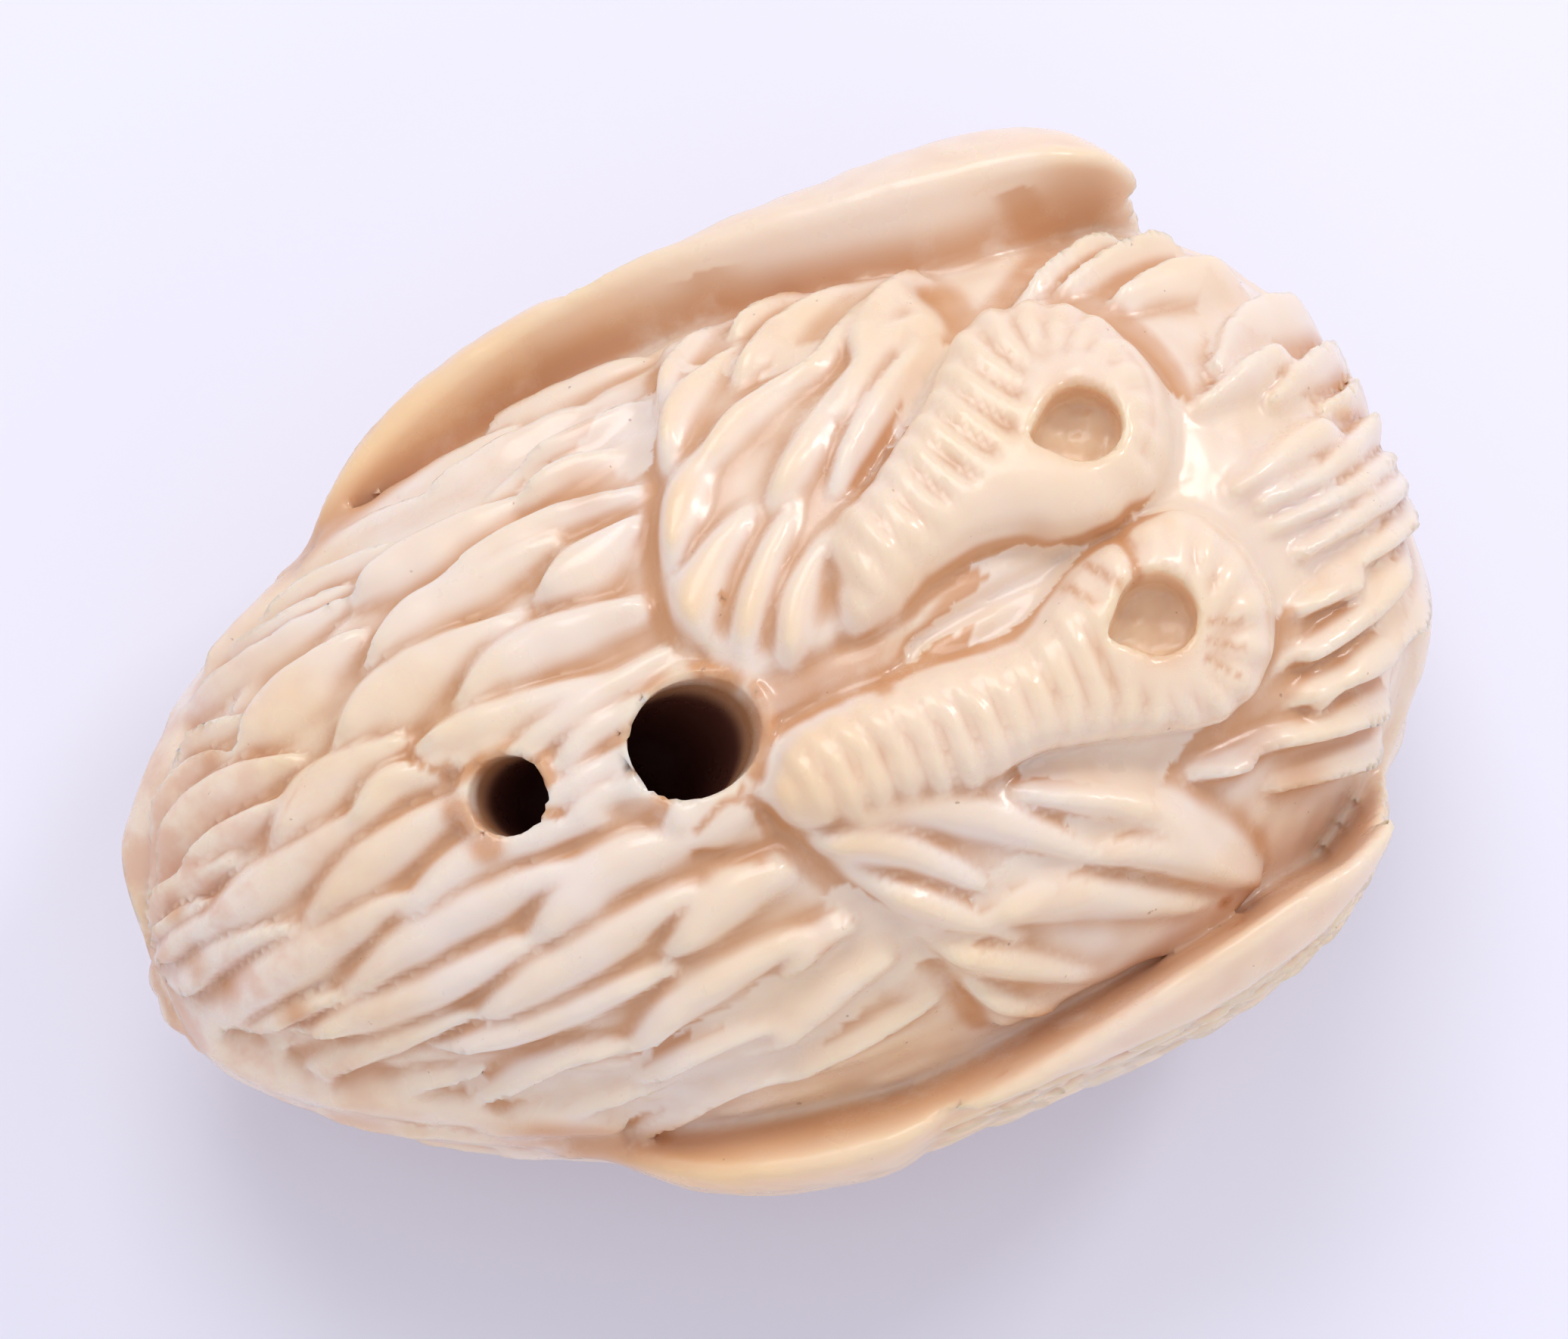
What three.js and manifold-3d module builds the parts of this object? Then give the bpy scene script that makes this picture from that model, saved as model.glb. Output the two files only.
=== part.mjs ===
// A carved netsuke: a plump quail lying on its back, with two cord holes through its belly.
// Millimetres, +Z up out of the belly, +X towards the breast, +Y towards the bird's right wing.
import * as THREE from 'three';
import { mergeVertices } from 'three/addons/utils/BufferGeometryUtils.js';
import Module from 'manifold-3d';

const wasm = await Module();
wasm.setup();

// Egg-shaped body. Its widest section is at x = BODY_WIDEST.
const BODY_WIDEST = 3.0;
const BREAST_LENGTH = 20.0;
const TAIL_LENGTH = 26.0;
const BREAST_POWER = 2.4;
const TAIL_POWER = 1.85;
const BODY_HALF_WIDTH = 14.4;
const BODY_MIDDLE_Z = 11.0;
const BELLY_RISE = 11.4;
const BACK_DROP = 11.0;

// Folded wings: one bowl that wraps the flanks and the back. Its crest climbs towards the breast.
const WING_WIDEST = 4.0;
const WING_FRONT = 14.6;
const WING_REAR = 19.0;
const WING_FRONT_POWER = 4.0;
const WING_REAR_POWER = 3.2;
const WING_HALF_WIDTH = 16.35;
const WING_MIDDLE_Z = 12.3;
const WING_DEPTH = 12.65;
const WING_BACK_POWER = 1.5;
const CREST_LOW = { x: -12.0, rise: 0.9 };
const CREST_HIGH = { x: 12.0, rise: 6.7 };
const CREST_STEPS = 4;
const CREST_FLARE = 0.05;
const CREST_FALL = 16.0;

// Groove along the back where the two folded wings meet.
const PARTING_START = new THREE.Vector3(-13.0, 0, 0.6);
const PARTING_END = new THREE.Vector3(9.0, 0, -0.1);
const PARTING_RADIUS = 0.7;
const PARTING_SIDES = 12;

// Head drawn in on to the back, with an eye drilled on each side.
const HEAD_CENTRE = new THREE.Vector3(15.5, 0, 5.9);
const HEAD_RADII = new THREE.Vector3(5.9, 5.3, 5.6);
const BEAK_BASE = new THREE.Vector3(19.6, 0, 4.6);
const BEAK_TIP = new THREE.Vector3(22.4, 0, 3.5);
const BEAK_BASE_RADIUS = 1.7;
const BEAK_TIP_RADIUS = 0.45;
const EYE_DIRECTION = new THREE.Vector3(0.55, 0.66, -0.51).normalize();
const EYE_RADIUS = 0.85;
const EYE_LENGTH = 1.5;
const EYE_PROUD = 0.3;
const EYE_CLEARANCE = 0.02;

// Tail fan, folded under the rump.
const TAIL_CENTRE = new THREE.Vector3(-15.6, 0, 4.9);
const TAIL_RADII = new THREE.Vector3(7.4, 4.6, 1.9);
const TAIL_PITCH = 0.3;

// Feather-covered thighs stand this far proud of the belly.
const THIGH_RISE = 0.8;
const THIGH_RIGHT = [
  [0.4, 12.8], [-1.2, 8.0], [-2.6, 4.6], [-2.8, 1.8], [-1.0, 0.2],
  [2.4, 0.9], [4.6, 4.2], [8.4, 8.0], [9.7, 11.4], [5.0, 12.6],
];
const THIGH_LEFT = [
  [-2.2, -4.7], [-1.1, -7.6], [1.9, -13.4], [6.0, -13.2], [12.2, -12.0],
  [10.6, -9.1], [6.1, -6.9], [2.0, -5.4],
];

// Legs: a ribbed shank that curls into a closed foot. Each point is x, y, radius.
const LEG_RIGHT = [
  [1.6, 1.0, 1.0], [4.4, 2.3, 1.7], [6.8, 3.7, 2.2], [9.2, 5.6, 2.5], [11.4, 6.6, 1.9],
  [13.4, 5.7, 1.6], [14.0, 3.6, 1.3], [13.4, 1.6, 1.1], [12.4, 0.6, 0.8],
];
const LEG_LEFT = [
  [-1.5, -4.0, 1.0], [1.6, -4.1, 1.7], [4.8, -4.4, 2.0], [7.8, -4.9, 2.1], [10.4, -6.0, 1.5],
  [12.6, -5.9, 1.4], [14.2, -4.2, 1.3], [14.2, -2.0, 1.2], [12.6, -0.7, 0.9],
];
const HIND_CLAW_RIGHT = [[8.4, 2.7, 1.3], [9.9, 1.6, 1.0], [11.4, 0.4, 0.5]];
const HIND_CLAW_LEFT = [[8.4, -3.3, 1.2], [9.8, -2.0, 1.0], [10.9, -1.3, 0.6]];
const RIB_PITCH = 0.9;
const RIB_DEPTH = 0.11;
const LEG_RISE = 0.9;
const LEG_FLATNESS = 0.8;
const LEG_SIDES = 9;
const STEPS_PER_RIB = 3;

// Blind pockets inside the closed feet.
const FOOT_POCKETS = [[11.8, 3.2], [11.5, -3.6]];
const POCKET_RADIUS = 1.45;
const POCKET_DEPTH = 1.6;

// Hollow between the shanks.
const HOLLOW_CENTRE = [7.0, 0.0];
const HOLLOW_RADII = new THREE.Vector3(3.2, 1.0, 1.4);
const HOLLOW_TURN = 0.15;

// Cord holes. They slant towards each other and meet below the bridge between them.
const BORE_MEETING = new THREE.Vector3(-6.8, -1.1, 13.2);
const LARGE_MOUTH = [-3.3, -1.55];
const LARGE_RADIUS = 1.9;
const SMALL_MOUTH = [-9.9, -0.7];
const SMALL_RADIUS = 1.3;

// Mesh fineness.
const BODY_AROUND = 44;
const BODY_ALONG = 32;
const HEAD_AROUND = 22;
const HEAD_ALONG = 14;
const BORE_SIDES = 24;

// A generous reach for cutters that must pass right out of the body.
const CUTTER_REACH = 8.0;
const TRIM_SIZE = 80;

function toSolid(geometry) {
  geometry.deleteAttribute('normal');
  geometry.deleteAttribute('uv');
  const merged = mergeVertices(geometry, 1e-4);
  const mesh = new wasm.Mesh({
    numProp: 3,
    vertProperties: new Float32Array(merged.attributes.position.array),
    triVerts: new Uint32Array(merged.index.array),
  });
  mesh.merge();
  return new wasm.Manifold(mesh);
}

function toMesh(solid, name, material) {
  const result = solid.getMesh();
  const geometry = new THREE.BufferGeometry();
  geometry.setAttribute('position', new THREE.BufferAttribute(result.vertProperties.slice(), 3));
  geometry.setIndex(new THREE.BufferAttribute(result.triVerts.slice(), 1));
  geometry.computeVertexNormals();
  const mesh = new THREE.Mesh(geometry, material);
  mesh.name = name;
  return mesh;
}

function reshape(geometry, move) {
  const place = geometry.attributes.position;
  const point = new THREE.Vector3();
  for (let i = 0; i < place.count; i += 1) {
    point.fromBufferAttribute(place, i);
    move(point);
    place.setXYZ(i, point.x, point.y, point.z);
  }
  return geometry;
}

// Rounded outline of a section along X: 1 at the widest place and 0 at the end.
function roundedEnd(distance, length, power) {
  const ratio = Math.min(Math.abs(distance) / length, 1);
  return (1 - ratio ** power) ** (1 / power);
}

function bodyOutline(x) {
  const distance = x - BODY_WIDEST;
  return distance > 0
    ? roundedEnd(distance, BREAST_LENGTH, BREAST_POWER)
    : roundedEnd(distance, TAIL_LENGTH, TAIL_POWER);
}

function bellyHeight(x, y) {
  const outline = bodyOutline(x);
  const across = Math.min(Math.abs(y) / (BODY_HALF_WIDTH * outline), 1);
  return BODY_MIDDLE_Z + BELLY_RISE * outline * Math.sqrt(1 - across * across);
}

// A unit ball with its poles on the X axis.
function ball(around, along) {
  return new THREE.SphereGeometry(1, around, along).rotateZ(Math.PI / 2);
}

function ellipsoid(centre, radii, around, along) {
  const geometry = ball(around, along);
  geometry.scale(radii.x, radii.y, radii.z);
  geometry.translate(centre.x, centre.y, centre.z);
  return geometry;
}

// Spreads a unit ball along X with rounded ends of a given power, leaving Y and Z as a unit ring.
function stretchAlong(point, middle, ahead, behind, aheadPower, behindPower) {
  const forward = point.x > 0;
  const power = forward ? aheadPower : behindPower;
  const ring = Math.hypot(point.y, point.z);
  const outline = ring ** (2 / power);
  const along = Math.sign(point.x) * Math.abs(point.x) ** (2 / power);
  point.x = middle + along * (forward ? ahead : behind);
  if (ring > 0) {
    point.y /= ring;
    point.z /= ring;
  }
  return outline;
}

function bodyEgg(growth) {
  return reshape(ball(BODY_AROUND, BODY_ALONG), (point) => {
    const outline = stretchAlong(
      point, BODY_WIDEST, BREAST_LENGTH, TAIL_LENGTH, BREAST_POWER, TAIL_POWER,
    );
    const rise = point.z > 0 ? BELLY_RISE : BACK_DROP;
    point.y *= outline * (BODY_HALF_WIDTH + growth);
    point.z = BODY_MIDDLE_Z + point.z * outline * (rise + growth);
  });
}

function crestRise(x) {
  const low = CREST_LOW;
  const high = CREST_HIGH;
  const share = THREE.MathUtils.clamp((x - low.x) / (high.x - low.x), 0, 1);
  return THREE.MathUtils.lerp(low.rise, high.rise, share);
}

// Above its widest place the bowl leans in up to the crest, then falls away into the body.
function wingBowl() {
  const crest = Math.sin(CREST_STEPS * 2 * Math.PI / BODY_AROUND);
  return reshape(ball(BODY_AROUND, BODY_ALONG), (point) => {
    const outline = stretchAlong(
      point, WING_WIDEST, WING_FRONT, WING_REAR, WING_FRONT_POWER, WING_REAR_POWER,
    );
    const climb = THREE.MathUtils.clamp(point.z / crest, 0, 1);
    const fall = CREST_FALL * outline * Math.max(point.z - crest, 0);
    const drop = WING_DEPTH * outline ** WING_BACK_POWER * Math.min(point.z, 0);
    point.y *= outline * WING_HALF_WIDTH * (1 + CREST_FLARE * climb);
    point.z = WING_MIDDLE_Z + crestRise(point.x) * Math.sqrt(outline) * climb - fall + drop;
  });
}

function wingParting() {
  return bar(PARTING_START, PARTING_END, PARTING_RADIUS, PARTING_RADIUS, PARTING_SIDES);
}

function tailFan() {
  const geometry = ball(HEAD_AROUND, HEAD_ALONG);
  geometry.scale(TAIL_RADII.x, TAIL_RADII.y, TAIL_RADII.z);
  geometry.rotateY(TAIL_PITCH);
  geometry.translate(TAIL_CENTRE.x, TAIL_CENTRE.y, TAIL_CENTRE.z);
  return geometry;
}

// A round bar between two points, which may taper.
function bar(from, to, fromRadius, toRadius, sides) {
  const span = to.clone().sub(from);
  const geometry = new THREE.CylinderGeometry(toRadius, fromRadius, span.length(), sides);
  const turn = new THREE.Quaternion().setFromUnitVectors(
    new THREE.Vector3(0, 1, 0), span.clone().normalize(),
  );
  geometry.applyQuaternion(turn);
  const middle = from.clone().add(to).multiplyScalar(0.5);
  geometry.translate(middle.x, middle.y, middle.z);
  return geometry;
}

function beak() {
  return bar(BEAK_BASE, BEAK_TIP, BEAK_BASE_RADIUS, BEAK_TIP_RADIUS, BORE_SIDES);
}

// The part of a slightly larger egg that stands over an outline drawn on the belly.
function thighPatch(outline) {
  const shape = new THREE.Shape();
  shape.setFromPoints(outline.map(([x, y]) => new THREE.Vector2(x, y)));
  const column = new THREE.ExtrudeGeometry(shape, { depth: CUTTER_REACH * 2, bevelEnabled: false });
  column.translate(0, 0, BODY_MIDDLE_Z + 2);
  return toSolid(column).intersect(toSolid(bodyEgg(THIGH_RISE)));
}

// A tapering bar laid on the belly along x, y, radius points. A rib depth of 0 leaves it smooth.
function limb(points, ribDepth) {
  const path = new THREE.CatmullRomCurve3(
    points.map(([x, y, radius]) => new THREE.Vector3(x, y, radius)),
  );
  const length = path.getLength();
  const ribs = Math.max(2, Math.round(length / RIB_PITCH));
  const steps = ribs * STEPS_PER_RIB;
  const geometry = new THREE.CylinderGeometry(1, 1, 1, LEG_SIDES, steps);
  return reshape(geometry, (point) => {
    const along = THREE.MathUtils.clamp(0.5 - point.y, 0, 1);
    const station = path.getPointAt(along);
    const heading = path.getTangentAt(along).setZ(0).normalize();
    const side = new THREE.Vector2(-heading.y, heading.x);
    const ripple = 1 + ribDepth * (0.5 - 0.5 * Math.cos(along * ribs * 2 * Math.PI));
    const radius = station.z * ripple;
    const across = point.x * radius;
    const x = station.x + side.x * across;
    const y = station.y + side.y * across;
    const middle = bellyHeight(station.x, station.y) + LEG_RISE - station.z * LEG_FLATNESS;
    point.set(x, y, middle + point.z * radius * LEG_FLATNESS);
  });
}

function footPocket([x, y]) {
  const top = bellyHeight(x, y);
  const from = new THREE.Vector3(x, y, top - POCKET_DEPTH);
  const to = new THREE.Vector3(x, y, top + CUTTER_REACH);
  return bar(from, to, POCKET_RADIUS, POCKET_RADIUS, BORE_SIDES);
}

function shankHollow() {
  const [x, y] = HOLLOW_CENTRE;
  const geometry = ball(HEAD_AROUND, HEAD_ALONG);
  geometry.scale(HOLLOW_RADII.x, HOLLOW_RADII.y, HOLLOW_RADII.z);
  geometry.rotateZ(HOLLOW_TURN);
  geometry.translate(x, y, bellyHeight(x, y));
  return geometry;
}

// A cord hole from its mouth on the belly to where the two holes meet.
function cordHole([x, y], radius) {
  const mouth = new THREE.Vector3(x, y, bellyHeight(x, y));
  const outward = mouth.clone().sub(BORE_MEETING).normalize();
  const start = BORE_MEETING.clone().addScaledVector(outward, -radius);
  const end = mouth.clone().addScaledVector(outward, CUTTER_REACH);
  return bar(start, end, radius, radius, BORE_SIDES);
}

// A peg or its socket, on the bird's right (side 1) or left (side -1) of the head.
function eyeBar(side, radius, inner, outer) {
  const direction = EYE_DIRECTION.clone();
  direction.y *= side;
  const surface = HEAD_CENTRE.clone().add(direction.clone().multiply(HEAD_RADII));
  const from = surface.clone().addScaledVector(direction, -inner);
  const to = surface.clone().addScaledVector(direction, outer);
  return bar(from, to, radius, radius, BORE_SIDES);
}

function eyeInlay(side) {
  return toSolid(eyeBar(side, EYE_RADIUS, EYE_LENGTH, EYE_PROUD));
}

function eyeSocket(side) {
  const radius = EYE_RADIUS + EYE_CLEARANCE;
  return toSolid(eyeBar(side, radius, EYE_LENGTH + EYE_CLEARANCE, CUTTER_REACH));
}

function floorTrim() {
  const block = new THREE.BoxGeometry(TRIM_SIZE, TRIM_SIZE, TRIM_SIZE);
  block.translate(0, 0, -TRIM_SIZE / 2);
  return toSolid(block);
}

function carvedBody() {
  const head = ellipsoid(HEAD_CENTRE, HEAD_RADII, HEAD_AROUND, HEAD_ALONG);
  const added = [
    toSolid(wingBowl()),
    toSolid(head),
    toSolid(beak()),
    toSolid(tailFan()),
    thighPatch(THIGH_RIGHT),
    thighPatch(THIGH_LEFT),
    toSolid(limb(LEG_RIGHT, RIB_DEPTH)),
    toSolid(limb(LEG_LEFT, RIB_DEPTH)),
    toSolid(limb(HIND_CLAW_RIGHT, 0)),
    toSolid(limb(HIND_CLAW_LEFT, 0)),
  ];
  const removed = [
    toSolid(wingParting()),
    toSolid(shankHollow()),
    toSolid(cordHole(LARGE_MOUTH, LARGE_RADIUS)),
    toSolid(cordHole(SMALL_MOUTH, SMALL_RADIUS)),
    eyeSocket(1),
    eyeSocket(-1),
    floorTrim(),
  ];
  FOOT_POCKETS.forEach((pocket) => removed.push(toSolid(footPocket(pocket))));
  const joined = added.reduce((whole, piece) => whole.add(piece), toSolid(bodyEgg(0)));
  return removed.reduce((whole, piece) => whole.subtract(piece), joined);
}

const ivory = new THREE.MeshStandardMaterial({ color: 0xeedfc0, roughness: 0.35 });
const horn = new THREE.MeshStandardMaterial({ color: 0x1c120c, roughness: 0.25 });

const quail = new THREE.Group();
quail.name = 'quail_netsuke';
quail.add(toMesh(carvedBody(), 'carved_body', ivory));
quail.add(toMesh(eyeInlay(1), 'right_eye_inlay', horn));
quail.add(toMesh(eyeInlay(-1), 'left_eye_inlay', horn));

export default quail;
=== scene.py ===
# A polished ivory-coloured netsuke: a plump quail on its back, carved all over with feathers.
# The CAD holds the size, the cord bores and the eye inlays. This script sculpts the carving itself.
# Everything is worked out in millimetres and written to the mesh in metres.
import math

import bpy
import numpy as np
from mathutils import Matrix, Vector


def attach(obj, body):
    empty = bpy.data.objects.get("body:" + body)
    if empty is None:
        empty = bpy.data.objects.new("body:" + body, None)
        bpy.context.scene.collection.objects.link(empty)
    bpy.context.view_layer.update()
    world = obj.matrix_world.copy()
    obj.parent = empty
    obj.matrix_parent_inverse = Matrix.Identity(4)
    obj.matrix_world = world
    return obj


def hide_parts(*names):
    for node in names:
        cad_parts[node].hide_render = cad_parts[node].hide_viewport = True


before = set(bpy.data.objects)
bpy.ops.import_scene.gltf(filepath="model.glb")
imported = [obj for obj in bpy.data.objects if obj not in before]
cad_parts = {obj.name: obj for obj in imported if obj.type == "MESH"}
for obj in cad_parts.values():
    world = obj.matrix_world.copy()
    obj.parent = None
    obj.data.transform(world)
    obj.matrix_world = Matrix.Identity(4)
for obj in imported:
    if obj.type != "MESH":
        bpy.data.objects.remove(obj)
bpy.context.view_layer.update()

MM = 0.001

# ---------------------------------------------------------------- driving dimensions, in mm

# Egg-shaped body, the same egg as the CAD body.
BODY_WIDEST = 3.0
BREAST_LENGTH = 20.0
TAIL_LENGTH = 26.0
BREAST_POWER = 2.4
TAIL_POWER = 1.85
BODY_HALF_WIDTH = 14.4
BODY_MIDDLE_Z = 11.0
BELLY_RISE = 11.4
BACK_DROP = 11.0

# Both ends of the hand-cut body lean a little towards the right wing.
TAIL_LEAN = 0.6
BREAST_LEAN = 0.95

# Folded wings: a bowl whose crest climbs towards the breast. Hand carving left the two unequal, so
# each has its half-width, front and rear length, and front and rear power.
WING_WIDEST = 4.0
WING_RIGHT = (16.2, 14.9, 18.9, 4.6, 3.0)
WING_LEFT = (15.8, 16.2, 17.0, 2.9, 3.2)
WING_MIDDLE_Z = 12.3
WING_DEPTH = 12.65
LIP_POWER = 3.0
GROOVE_DEPTH = 0.9

# How high the bowl would reach above its middle: x, height.
BOWL_RISE = (
    (-15, 1.8), (-12, 2.3), (-8, 3.6), (-4, 5), (0, 6.6), (4, 7.4), (8, 7.8),
    (12, 8.2), (16, 8.8), (20, 9.2),
)
# Crest of both wings: x, distance from the middle, z.
CREST = (
    (-15, 10.2, 13), (-12, 11.9, 13.3), (-8, 14, 14.1), (-4, 15, 14.9),
    (0, 15.4, 15.8), (4, 14.9, 16.8), (8, 14.1, 17.6), (12, 13.3, 18.1),
    (16, 12.6, 18.2), (20, 11.7, 18.2),
)
# Groove between belly and wing: x, distance from the middle.
GROOVE_RIGHT = (
    (-16, 9), (-12.5, 11.3), (-8, 12.7), (-4, 13.3), (0, 13.4), (3, 12.9), (7.5, 12),
    (11, 11.2), (13.5, 11.2), (16, 11.3), (20, 10.4),
)
GROOVE_LEFT = (
    (-16, 9.2), (-12, 11.4), (-8, 12.3), (-4, 13.2), (0, 13.6), (5, 13.3), (8, 12.9),
    (11, 12.4), (13, 11.9), (16, 11.2), (20, 10),
)
WING_PARTING_START = np.array([-13.0, 0.0, 0.6])
WING_PARTING_END = np.array([9.0, 0.0, -0.1])
WING_PARTING_RADIUS = 0.7

# Head, beak and tail on the side that faces the floor.
HEAD_CENTRE = np.array([15.5, 0.0, 5.9])
HEAD_RADII = np.array([5.9, 5.3, 5.6])
HEAD_FURROW = 0.22
HEAD_FURROWS = 13.0
NECK_DEPTH = 1.1
NECK_WIDTH = 0.8
BEAK_BASE = np.array([19.6, 0.0, 4.6])
BEAK_TIP = np.array([22.4, 0.0, 3.5])
BEAK_BASE_RADIUS = 1.7
BEAK_TIP_RADIUS = 0.45
EYE_DIRECTION = np.array([0.55, 0.66, -0.51])
EYE_SOCKET_RADIUS = 0.87
EYE_SOCKET_DEPTH = 1.52
TAIL_CENTRE = np.array([-15.6, 0.0, 4.9])
TAIL_RADII = np.array([7.4, 4.6, 1.9])
TAIL_PITCH = 0.3
TAIL_RIDGE = 0.18
TAIL_RIDGE_PITCH = 1.5

# Rounding where one form meets another.
LIP_BLEND = 0.7
WING_ROOT_BLEND = 0.6
HEAD_BLEND = 0.35
BEAK_BLEND = 0.4
TAIL_BLEND = 0.4
PARTING_BLEND = 0.3
BORE_BLEND = 0.15
POCKET_BLEND = 0.25
FLOOR_BLEND = 0.1

# Cord bores, which meet in a V: place of the mouth, and radius. Feathers end short of the rims.
BORE_MEETING = np.array([-6.8, -1.1, 13.2])
BORES = (((-3.3, -1.55), 1.9), ((-9.9, -0.7), 1.3))
RIM_WIDTH = 0.9
RIM_LEVEL = -0.3

# How strongly painted shade darkens the groove beside a wing.
CREVICE_SHADE_STRENGTH = 0.42

# Fineness of the relief maps and of the sculpted mesh.
MAP_STEP = 0.06
VOXEL = 0.26
GRID_LOW = np.array([-24.2, -18.0, -0.7])
GRID_HIGH = np.array([24.2, 18.0, 25.2])

# Where the full carving is worked out: near the plain forms, low down round the head, and round the
# bores. Further away the plain forms will do.
RELIEF_REACH = 3.0
HEAD_ZONE_TOP = 9.0
BORE_ZONE_CENTRE = np.array([-6.5, -1.1])
BORE_ZONE_HALF = np.array([6.5, 3.0])

# Settling of the mesh on to the carved surface.
PROBE = 0.02
GENTLEST_SLOPE = 0.3
LONGEST_MOVE = 0.35 * VOXEL

# ---------------------------------------------------------------- carved pattern
# The carver's layout, seen from above the belly. Each feather is three x, y points and a width.

# Belly feathers: tip, middle, root. Tips point at the tail.
BELLY_FEATHERS = (
    (-19.4, 7.4, -15.5, 8.3, -11.8, 8.7, 1.7), (-19.6, 6.4, -18, 6.6, -16.2, 6.4, 1),
    (-21, 4.7, -19, 5.6, -17, 5.1, 1.5), (-17.3, 5.2, -14.9, 6.2, -12, 7.2, 2.4),
    (-21.2, 3.5, -18.6, 4.2, -15.4, 3.9, 2), (-22.2, 2.3, -20.5, 1.8, -18.4, 1.6, 1.2),
    (-20.6, 2.4, -18.3, 2.5, -15.6, 2.5, 1.3), (-17.5, 1.2, -15, 2.3, -12, 2.6, 2.2),
    (-21, -0.3, -17.5, 0.1, -13.3, 0.7, 2.1), (-14.9, 0.5, -12.9, 1.3, -10.4, 0.9, 1.4),
    (-17.3, -1.7, -13.7, -0.8, -10.6, -0.3, 1.9), (-12.2, 2.1, -9.5, 1.7, -5, 1.4, 1.8),
    (-14.4, 3.5, -11.2, 4.4, -7, 4.9, 2.6), (-12.5, 5.8, -9.2, 6.7, -5, 7, 2.1),
    (-9.2, 7.4, -5.5, 7.7, -1.8, 7.6, 1.4), (-6.5, 5.2, -4.4, 5.6, -2.3, 6.5, 2.2),
    (-12, 8.4, -9.2, 8.9, -5.6, 9.3, 2.3), (-5.7, 9.1, -3.8, 9.4, -2, 9.5, 1.2),
    (-10.4, 2.8, -7.2, 3.5, -2.7, 3.3, 2.1), (-9.4, 0.3, -7, 0.7, -2.8, 1.6, 1.2),
    (-8.2, -0.7, -6.3, -0.1, -4.5, 0.3, 1.1), (-8.8, -1.7, -7, -1.4, -5, -1.3, 1.1),
    (-8.6, -2.5, -6.6, -2.2, -4.9, -2.5, 0.9), (-15.2, 9.6, -12.3, 10, -9.4, 9.9, 1.2),
    (-13.6, 10.6, -10.8, 11.2, -7.4, 11, 1.9), (-10.9, 11.7, -7.6, 12.2, -4.6, 12.5, 2.2),
    (-8.6, 11, -5.5, 11.5, -2.4, 12, 1.5), (-5.4, 10.4, -2.8, 10.6, -0.4, 11.2, 1),
    (-6, 12.7, -3, 13, 0.2, 13.1, 1.8), (-22.4, -1.9, -20.3, -1.4, -17.4, -1.7, 1.5),
    (-22.5, -0.2, -21.3, -0.1, -19.4, 0.2, 1.3), (-22.2, -3, -21.3, -3.5, -19.9, -3.6, 1.3),
    (-21.4, -3.1, -17.8, -2.9, -13.6, -2.5, 2.3), (-14.5, -3, -11.2, -2.4, -7, -2.9, 1.5),
    (-17.1, -4.5, -12.5, -3.9, -7.8, -4, 2), (-19, -4.9, -14.5, -5.7, -10.2, -5.6, 2),
    (-10.9, -5.6, -7.3, -4.6, -4.4, -4.9, 2.2), (-19.1, -5.9, -16.6, -6.5, -13.2, -6.9, 1.4),
    (-13.4, -7, -9.5, -6.8, -5.3, -6.2, 2.2), (-15, -7.3, -11, -8.1, -6.8, -8.2, 1.6),
    (-7, -7.8, -4.2, -7, -1.4, -6.8, 2), (-18.5, -7.3, -16.3, -7.8, -13.6, -8.6, 1.3),
    (-14.6, -9, -11.5, -9.3, -8.6, -9.9, 1.2), (-9.2, -10, -6.3, -9.3, -1.8, -9, 1.7),
    (-9.4, -10.8, -7, -10.8, -4, -11.1, 1.1), (-14.4, -10.1, -11.5, -10.6, -8, -11.3, 1.3),
    (-5.2, -11.6, -2.2, -10.9, 1.4, -10.2, 1.5), (-5, -12.3, -2.5, -12.4, 1.2, -12.2, 1.1),
    (-10.4, -11.7, -6.5, -12.1, -2.8, -12.8, 1.1), (-3.8, -9.9, -1.8, -9.2, 0.6, -9.2, 1),
    (-20.6, -3.9, -18.8, -4.3, -16.8, -4.5, 1.1), (-22, -4.3, -20.8, -4.8, -19.2, -5.2, 1.2),
    (-20.2, -5.9, -19, -6.2, -17.6, -6.5, 1), (-5.6, -3.9, -3.8, -4.2, -1.6, -4.4, 2.4),
    (-22.3, 1, -21.4, 0.8, -19.8, 0.8, 1),
    (-16.6, 9.1, -14.4, 9.1, -11.8, 9.4, 1.1),
)

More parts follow.
